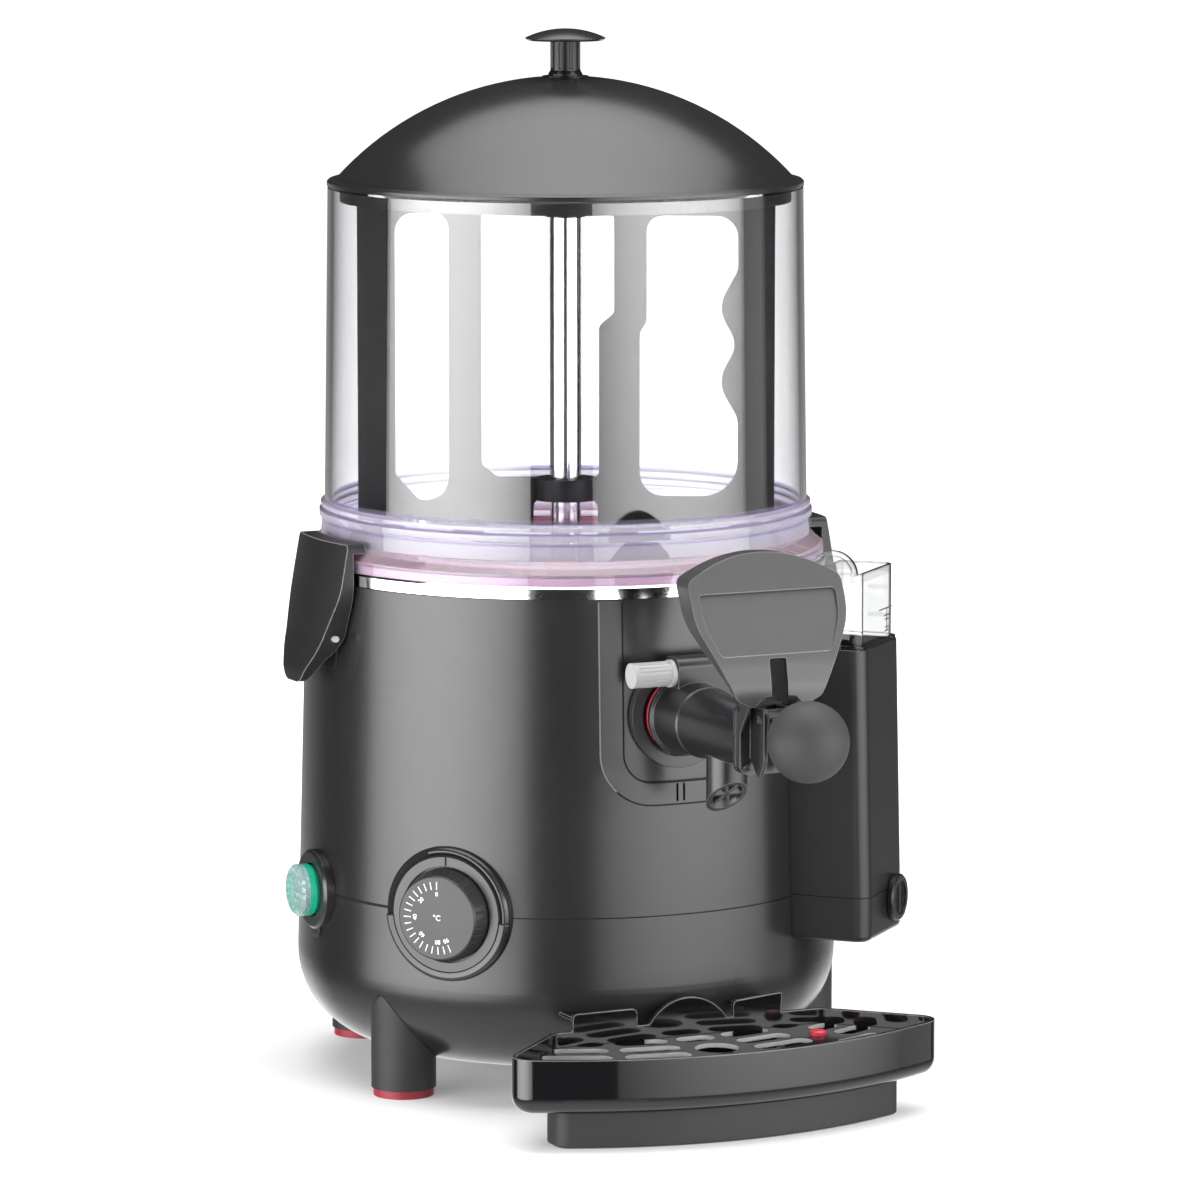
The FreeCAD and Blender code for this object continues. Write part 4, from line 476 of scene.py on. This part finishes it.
def hollow(mat):
    """Shell with painted shade: faces turned to its middle or to the back, its inside and slot, are
    painted near black and made matt.
    """
    tree, bsdf = opened(mat)
    tone = bsdf.inputs["Base Color"].links[0].from_socket
    gloss = bsdf.inputs["Roughness"].links[0].from_socket
    spot = axes(tree, own_place(tree))
    way = axes(tree, facing(tree))
    sideways = math_node(tree, "MULTIPLY", spot["X"], way["X"])
    inward = math_node(tree, "LESS_THAN", sideways, INWARD)
    backward = math_node(tree, "GREATER_THAN", way["Y"], BACKWARD)
    inside = math_node(tree, "MAXIMUM", inward, backward)
    # Painted shade: faces inside the shell are painted near black.
    tree.links.new(mixed(tree, inside, tone, INNER_SHADE_TONE), bsdf.inputs["Base Color"])
    dull = math_node(tree, "MULTIPLY", inside, INNER_SHADE_ROUGH)
    tree.links.new(math_node(tree, "MAXIMUM", gloss, dull), bsdf.inputs["Roughness"])
    return mat


def outlined(mat, tone, line, radius):
    """Moulding whose corners and edges, to a radius in mm, get a painted tone: a painted highlight
    on dark plastic, painted shade on the clear cup.
    """
    tree, bsdf = opened(mat)
    # Painted light or shade along edges: the line tone is mixed in where the rounded normal turns
    # from the true one.
    tree.links.new(mixed(tree, edges(tree, radius * MM), tone, line), bsdf.inputs["Base Color"])
    return mat


def outlined_plastic(name, tone, line, radius, rough, **finish):
    """Plastic of one tone with a painted highlight of another tone along its edges."""
    return outlined(plastic(name, tone, rough, **finish), tone, line, radius)


def slotted(mat, top, wall_highlight):
    """Grid whose upright slot walls get a painted highlight, paler than its top."""
    tree, bsdf = opened(mat)
    level = math_node(tree, "ABSOLUTE", axes(tree, facing(tree))["Z"])
    steep = spread(tree, level, 1.0, 0.0, *WALL_TILTS)
    # Painted highlight: steep faces, the slot walls, take the paler tone.
    tree.links.new(mixed(tree, steep, top, wall_highlight), bsdf.inputs["Base Color"])
    return mat


def textured_side(mat, angle, side, rough_side, rough):
    """Tank moulding: the broad side face is matt, the corner and the outer face are smoother."""
    tree, bsdf = opened(mat)
    a = math.radians(angle)
    across = dot_product(tree, own_place(tree), (math.cos(a), math.sin(a), 0))
    gloss = spread(tree, across, rough_side, rough, side * MM, (side + CORNER_BLEND) * MM)
    tree.links.new(gloss, bsdf.inputs["Roughness"])
    return mat


# ---------------------------------------------------------------- looks of the nodes
def grey(level):
    """Neutral tone of one level."""
    return (level, level, level)


BLACK = (0.016, 0.016, 0.017)
GRID_TONE = grey(0.008)
CUP_TONE = (0.85, 0.855, 0.855)
LIP_LEVEL = 281.5      # millimetres above the table
TANK_ANGLE = 43.0      # degrees round the axis from the front
TANK_SIDE = -31.0      # millimetres from the tank's middle to its broad side face

LOOK = {
    "housing": plastic("housing", BLACK, rough=0.24, grain=0.02, grain_scale=1400.0, edge=0.6),
    "foot_black": plastic(
        "foot_black", BLACK, rough=0.6, grain=0.05, grain_scale=1400.0, edge=0.6),
    "lid_black": plastic("lid_black", BLACK, rough=0.22, grain=0.02, grain_scale=1600.0, edge=0.4),
    # The grey edge tones of the tap, latches and tray are painted highlights.
    "tap_black": outlined_plastic(
        "tap_black", (0.014, 0.014, 0.015), grey(0.16), 0.8,
        rough=0.30, grain=0.02, grain_scale=1600.0, edge=0.8),
    "latch_black": outlined_plastic(
        "latch_black", (0.012, 0.012, 0.013), grey(0.34), 0.9,
        rough=0.42, specular=0.4, grain=0.08, grain_scale=900.0, edge=1.0),
    "tank_black": textured_side(
        plastic("tank_black", (0.011, 0.011, 0.012),
                rough=0.40, specular=0.38, grain=0.12, grain_scale=700.0, edge=0.6),
        TANK_ANGLE, TANK_SIDE, rough_side=0.8, rough=0.3),
    "tray_black": outlined_plastic(
        "tray_black", (0.006, 0.006, 0.007), grey(0.26), 0.9,
        rough=0.06, specular=0.64, edge=1.0),
    # The grid's slot walls get a painted highlight.
    "grid_black": slotted(
        plastic("grid_black", GRID_TONE, rough=0.14, specular=0.22, edge=1.0),
        GRID_TONE, grey(0.42)),
    "knob_black": plastic("knob_black", (0.02, 0.02, 0.021), rough=0.40, grain=0.02, edge=0.4),
    "ball_black": plastic(
        "ball_black", grey(0.018), rough=0.70, specular=0.75, grain=0.02, edge=0.0),
    "inner_plastic": plastic("inner_plastic", grey(0.25), rough=0.5, edge=0.3),
    "paddle_black": plastic(
        "paddle_black", grey(0.006), rough=0.45, specular=0.3, grain=0.02, edge=0.4),
    "red_silicone": plastic(
        "red_silicone", (0.55, 0.03, 0.06), rough=0.42, specular=0.6, grain=0.01, edge=0.3),
    "grey_plastic": plastic(
        "grey_plastic", (0.42, 0.42, 0.43), rough=0.4, grain=0.01, edge=0.3, vary=0.03),
    "collar_grey": plastic(
        "collar_grey", (0.03, 0.03, 0.031), rough=0.34, grain=0.02, edge=0.6, vary=0.04),
    "bright_steel": steel("bright_steel", (0.86, 0.86, 0.87), rough=0.10),
    "sheet_steel": steel("sheet_steel", (0.6, 0.6, 0.61), rough=0.3),
    "clear_bowl": milky_foot(clear("clear_bowl", (0.985, 0.982, 0.995))),
    # The cup's edges get painted shade, a darker grey.
    "clear_cup": lipped(
        outlined(clear("clear_cup", CUP_TONE, rough=0.03, ior=1.27), CUP_TONE, grey(0.3), 2.4),
        LIP_LEVEL, share=0.82),
    "lamp_green": plastic(
        "lamp_green", (0.0, 0.42, 0.24), rough=0.35, specular=0.6, edge=0.3, vary=0.05),
    "lens_clear": cloudy(
        faceted(clear("lens_clear", (0.62, 0.76, 0.78), rough=0.04)), share=0.78),
    "motor_paint": plastic("motor_paint", (0.1, 0.1, 0.11), rough=0.45, edge=0.4),
}
OWN_LOOK = {
    # The shield gets painted shade inside and in its slot, and a painted highlight along its edges.
    "shield": hollow(outlined_plastic(
        "shield_black", (0.040, 0.040, 0.041), grey(0.26), 0.7,
        rough=0.36, specular=0.55, grain=0.02, grain_scale=1600.0, edge=0.8)),
    "foot_pads": plastic("sole_red", (0.30, 0.018, 0.035), rough=0.5, grain=0.01, edge=0.3),
    "container_gasket": plastic(
        "gasket_red", (0.62, 0.24, 0.34), rough=0.5, specular=0.4, edge=0.3),
    # The latch brackets are painted darker and matter than the latches: painted shade under the
    # latch levers.
    "latch_brackets": plastic(
        "bracket_painted_shade", grey(0.008), rough=0.5, specular=0.4, grain=0.02, edge=0.3),
}
for part in frame["record"]["subparts"]:
    node = NODES[part["node"]]
    for holder in node.material_slots:
        holder.material = OWN_LOOK.get(part["node"], LOOK[part["material_slot"]])


# ---------------------------------------------------------------- helpers for added pieces
def keep(name, work, mat, body, matrix, smooth=False):
    """Turn a bmesh into a named piece that rides on a body."""
    mesh = bpy.data.meshes.new(name)
    work.transform(matrix)
    bmesh.ops.recalc_face_normals(work, faces=work.faces)
    work.to_mesh(mesh)
    work.free()
    for face in mesh.polygons:
        face.use_smooth = smooth
    obj = bpy.data.objects.new(name, mesh)
    bpy.context.scene.collection.objects.link(obj)
    mesh.materials.append(mat)
    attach(obj, body)


def side_frame(angle, height, distance):
    """Axes sideways, up and outwards at a place round the bowl's axis, in millimetres."""
    a = math.radians(angle)
    side = Vector((math.cos(a), math.sin(a), 0))
    outward = Vector((math.sin(a), -math.cos(a), 0))
    turn = Matrix((side, UP, outward)).transposed().to_4x4()
    place = (outward * distance + Vector((0, 0, height))) * MM
    return Matrix.Translation(place) @ turn @ Matrix.Scale(MM, 4)


def block(work, x0, x1, y0, y1, z0, z1, turn=0.0):
    """Add a small bar to a bmesh, turned about the local origin."""
    made = bmesh.ops.create_cube(work, size=1.0)["verts"]
    move = Matrix.Translation(((x0 + x1) / 2, (y0 + y1) / 2, (z0 + z1) / 2))
    size = Matrix.Diagonal((x1 - x0, y1 - y0, z1 - z0, 1))
    bmesh.ops.transform(work, matrix=Matrix.Rotation(turn, 4, "Z") @ move @ size, verts=made)


def swept(sections):
    """Bmesh of a solid through closed sections, each with as many points, with flat ends."""
    work = bmesh.new()
    rows = [[work.verts.new(point) for point in section] for section in sections]
    for row, after in zip(rows, rows[1:]):
        for k in range(len(row)):
            j = (k + 1) % len(row)
            work.faces.new((row[k], row[j], after[j], after[k]))
    work.faces.new(rows[0][::-1])
    work.faces.new(rows[-1])
    return work


# ---------------------------------------------------------------- dial
PRINT_WHITE = plastic("print_white", grey(0.82), rough=0.5, specular=0.4, edge=0.0, vary=0.04)
# Near black: painted shade in gaps, a seam and the tap frame's outline, and the dial's own pointer
# mark.
SHADE_AND_MARK_BLACK = plastic("shade_and_mark_black", grey(0.004), rough=0.6, specular=0.2, edge=0.0)
DIAL_ANGLE = -50.0     # degrees round the axis from the front
DIAL_Z = 107.0
DIAL_FACE = 162.5      # distance of the knob's face from the axis
BEZEL_FACE = 151.5
SCALE_END = 90
SCALE_MARK = 5                       # degrees Celsius from tick to tick
SCALE_STEP = math.radians(11.4)      # turn from tick to tick
NUMBERS = (0, 20, 40, 60, 80, 90)
NUMBER_SIZE, NUMBER_R = 3.3, 13.0
UNIT_SIZE = 4.2
PRINT_LIFT = 0.02


def dial_print(name, text, size, matrix):
    """Raised characters of the dial's scale, centred on the matrix' origin (millimetres)."""
    font = bpy.data.curves.new(name + "_font", "FONT")
    font.body = text
    font.size = size
    font.align_x = "CENTER"
    font.align_y = "CENTER"
    font.extrude = 0.04
    font.offset = 0.02 * size
    font.resolution_u = 4
    holder = bpy.data.objects.new(name + "_font", font)
    bpy.context.scene.collection.objects.link(holder)
    mesh = bpy.data.meshes.new_from_object(holder)
    bpy.data.objects.remove(holder)
    bpy.data.curves.remove(font)
    work = bmesh.new()
    work.from_mesh(mesh)
    bpy.data.meshes.remove(mesh)
    keep(name, work, PRINT_WHITE, "dial", matrix)


def dial_scale():
    """Ticks, numbers and unit printed on the knob's face."""
    face = side_frame(DIAL_ANGLE, DIAL_Z, DIAL_FACE)
    work = bmesh.new()
    for i in range(SCALE_END // SCALE_MARK + 1):
        block(work, -0.28, 0.28, 15.6, 19.8, -0.05, 0.06, i * SCALE_STEP)
    keep("dial_ticks", work, PRINT_WHITE, "dial", face)
    for number in NUMBERS:
        turn = Matrix.Rotation(number / SCALE_MARK * SCALE_STEP, 4, "Z")
        place = turn @ Matrix.Translation((0, NUMBER_R, PRINT_LIFT))
        dial_print("dial_number_%d" % number, str(number), NUMBER_SIZE, face @ place)
    dial_print("dial_unit", "\u00b0C", UNIT_SIZE, face @ Matrix.Translation((0, 0, PRINT_LIFT)))


def arc_band(name, section, start, stop, mat, matrix, steps=96):
    """Solid band with a closed section (radius, height) swept round the local Z axis."""
    sections = []
    for i in range(steps + 1):
        a = math.radians(start + (stop - start) * i / steps)
        sections.append([(r * math.cos(a), r * math.sin(a), h) for r, h in section])
    keep(name, swept(sections), mat, "base", matrix, smooth=True)


def dial_rings():
    """Near-black strip of painted shade in the parting gap round the upper half of the bezel, the
    bead outside it, and the pointer.
    """
    face = side_frame(DIAL_ANGLE, DIAL_Z, BEZEL_FACE)
    gap = [(31.6, -0.4), (31.6, 0.06), (33.1, -0.8), (33.1, -1.3)]
    bead = [(33.5, 0.1), (34.3, 0.42), (35.2, 0.25), (36.0, -0.5), (36.8, -1.7), (37.05, -3.4),
            (35.5, -3.4)]
    bead_top = [(33.0, -1.6), (33.0, -0.6)] + bead
    bead_foot = [(31.3, -1.0), (31.3, 0.03), (32.4, 0.1)] + bead
    # Painted shade: a near-black strip in the bezel's parting gap, over its upper half only.
    arc_band("dial_gap_painted_shade", gap, -4, 184, SHADE_AND_MARK_BLACK, face)
    arc_band("dial_bead_top", bead_top, -4, 108, LOOK["housing"], face)
    arc_band("dial_bead_foot", bead_foot, -176, -4, LOOK["housing"], face)
    work = bmesh.new()
    block(work, -0.35, 0.35, 26.8, 31.4, -0.1, 0.32)
    keep("dial_pointer", work, SHADE_AND_MARK_BLACK, "base", face)


dial_scale()
dial_rings()


# ---------------------------------------------------------------- frame of the tap, and seam, with painted highlight and painted shade lines
# Mid grey for a painted highlight along the tap frame's outer edge.
PAINTED_EDGE_HIGHLIGHT = plastic("painted_edge_highlight", (0.16, 0.16, 0.165), rough=0.3, edge=0.0, vary=0.04)
SEAM_Z, SEAM_R = 107.0, 149.2
DECK_Z, DECK_R = 279.0, 144.6
FRAME_RISE = 0.7       # how far the frame's face stands out of the housing
FRAME_TOP = 278.0
CORNER_STEPS = 12
FRAME_SINK = -0.3      # where a strip's inner face lies under the frame's face
SEAM_SINK = -0.4
SEAM_STEPS = 48


def skin_r(z):
    """Outside radius of the upper housing at a height."""
    return SEAM_R + (DECK_R - SEAM_R) * (z - SEAM_Z) / (DECK_Z - SEAM_Z)


def u_path(half, low, corner):
    """Points and outward directions down the left side, round the foot and up the right."""
    path = [((-half, z), (-1, 0)) for z in (FRAME_TOP, (FRAME_TOP + low + corner) / 2)]
    for i in range(CORNER_STEPS + 1):
        a = math.radians(180 + 90 / CORNER_STEPS * i)
        way = (math.cos(a), math.sin(a))
        path.append(((-half + corner + corner * way[0], low + corner + corner * way[1]), way))
    right = [((-x, z), (-w[0], w[1])) for (x, z), w in path]
    path += [((x, low), (0, -1)) for x in (-half / 2 + corner / 2, 0, half / 2 - corner / 2)]
    return path + right[::-1]


def u_strip(name, path, width, lift, mat):
    """Thin strip that follows a path on the housing's curved face."""
    sections = []
    for (x, z), (wx, wz) in path:
        section = []
        for out, rise in ((0, FRAME_SINK), (0, lift), (width, lift), (width, FRAME_SINK)):
            px, pz = x + wx * out, z + wz * out
            r = skin_r(pz) + FRAME_RISE + rise
            section.append((px, -math.sqrt(r ** 2 - px * px), pz))
        sections.append(section)
    keep(name, swept(sections), mat, "base", Matrix.Scale(MM, 4))


def seam_strip(name, start, stop, low, high, lift, mat):
    """Thin band round the housing between two directions, at the parting of its two halves."""
    sections = []
    for i in range(SEAM_STEPS + 1):
        a = math.radians(start + (stop - start) * i / SEAM_STEPS)
        section = []
        for rise, up in ((SEAM_SINK, low), (lift, low), (lift, high), (SEAM_SINK, high)):
            r = SEAM_R + rise
            section.append((r * math.sin(a), -r * math.cos(a), SEAM_Z + up))
        sections.append(section)
    keep(name, swept(sections), mat, "base", Matrix.Scale(MM, 4))


# Painted shade: a near-black line round the frame's recess.
u_strip("frame_inner_painted_shade", u_path(half=31.6, low=179.9, corner=15.6), 0.9, 0.06, SHADE_AND_MARK_BLACK)
outer = u_path(half=44.0, low=167.5, corner=28.0)
# Outer edge: painted shade from the lower left corner round the foot and up the right side, and a
# painted highlight down its left side.
u_strip("frame_outer_painted_shade", outer[8:], 0.7, 0.06, SHADE_AND_MARK_BLACK)
u_strip("frame_outer_painted_highlight", outer[:9], 0.6, 0.1, PAINTED_EDGE_HIGHLIGHT)
# Painted shade: a near-black band on a short stretch of the parting line between the housing's
# halves.
seam_strip("seam_painted_shade", -82.0, -64.5, -0.8, 0.7, 0.08, SHADE_AND_MARK_BLACK)


# ---------------------------------------------------------------- water marks on the filler cup
PRINT_GREY = plastic(
    "print_grey", (0.08, 0.08, 0.085), rough=0.5, specular=0.4, edge=0.0, vary=0.04)
MARK_Z = 245.0
MARK_FACE = 183.95     # distance of the cup's outer face from the axis
MARK_LIFT = 0.08
MARK_BARS = ((3, 25, 17.1, 17.9), (15.3, 16.5, 5, 17.5))    # x and y of the line and its stem
MARK_STROKES = ((11, 20.5, 13.2), (12.5, 19.5, 11.0), (13.5, 18.5, 6.6), (12.5, 19.5, 4.6))
STROKE_WIDTH = 0.8


def cup_marks():
    """Water line and plain strokes printed on the cup's outer face."""
    work = bmesh.new()
    for bar in MARK_BARS:
        block(work, *bar, 0, MARK_LIFT)
    for x0, x1, y in MARK_STROKES:
        block(work, x0, x1, y, y + STROKE_WIDTH, 0, MARK_LIFT)
    face = side_frame(TANK_ANGLE, MARK_Z, MARK_FACE)
    keep("cup_marks", work, PRINT_GREY, "cup", face)


cup_marks()

bpy.context.scene.view_settings.view_transform = "Standard"
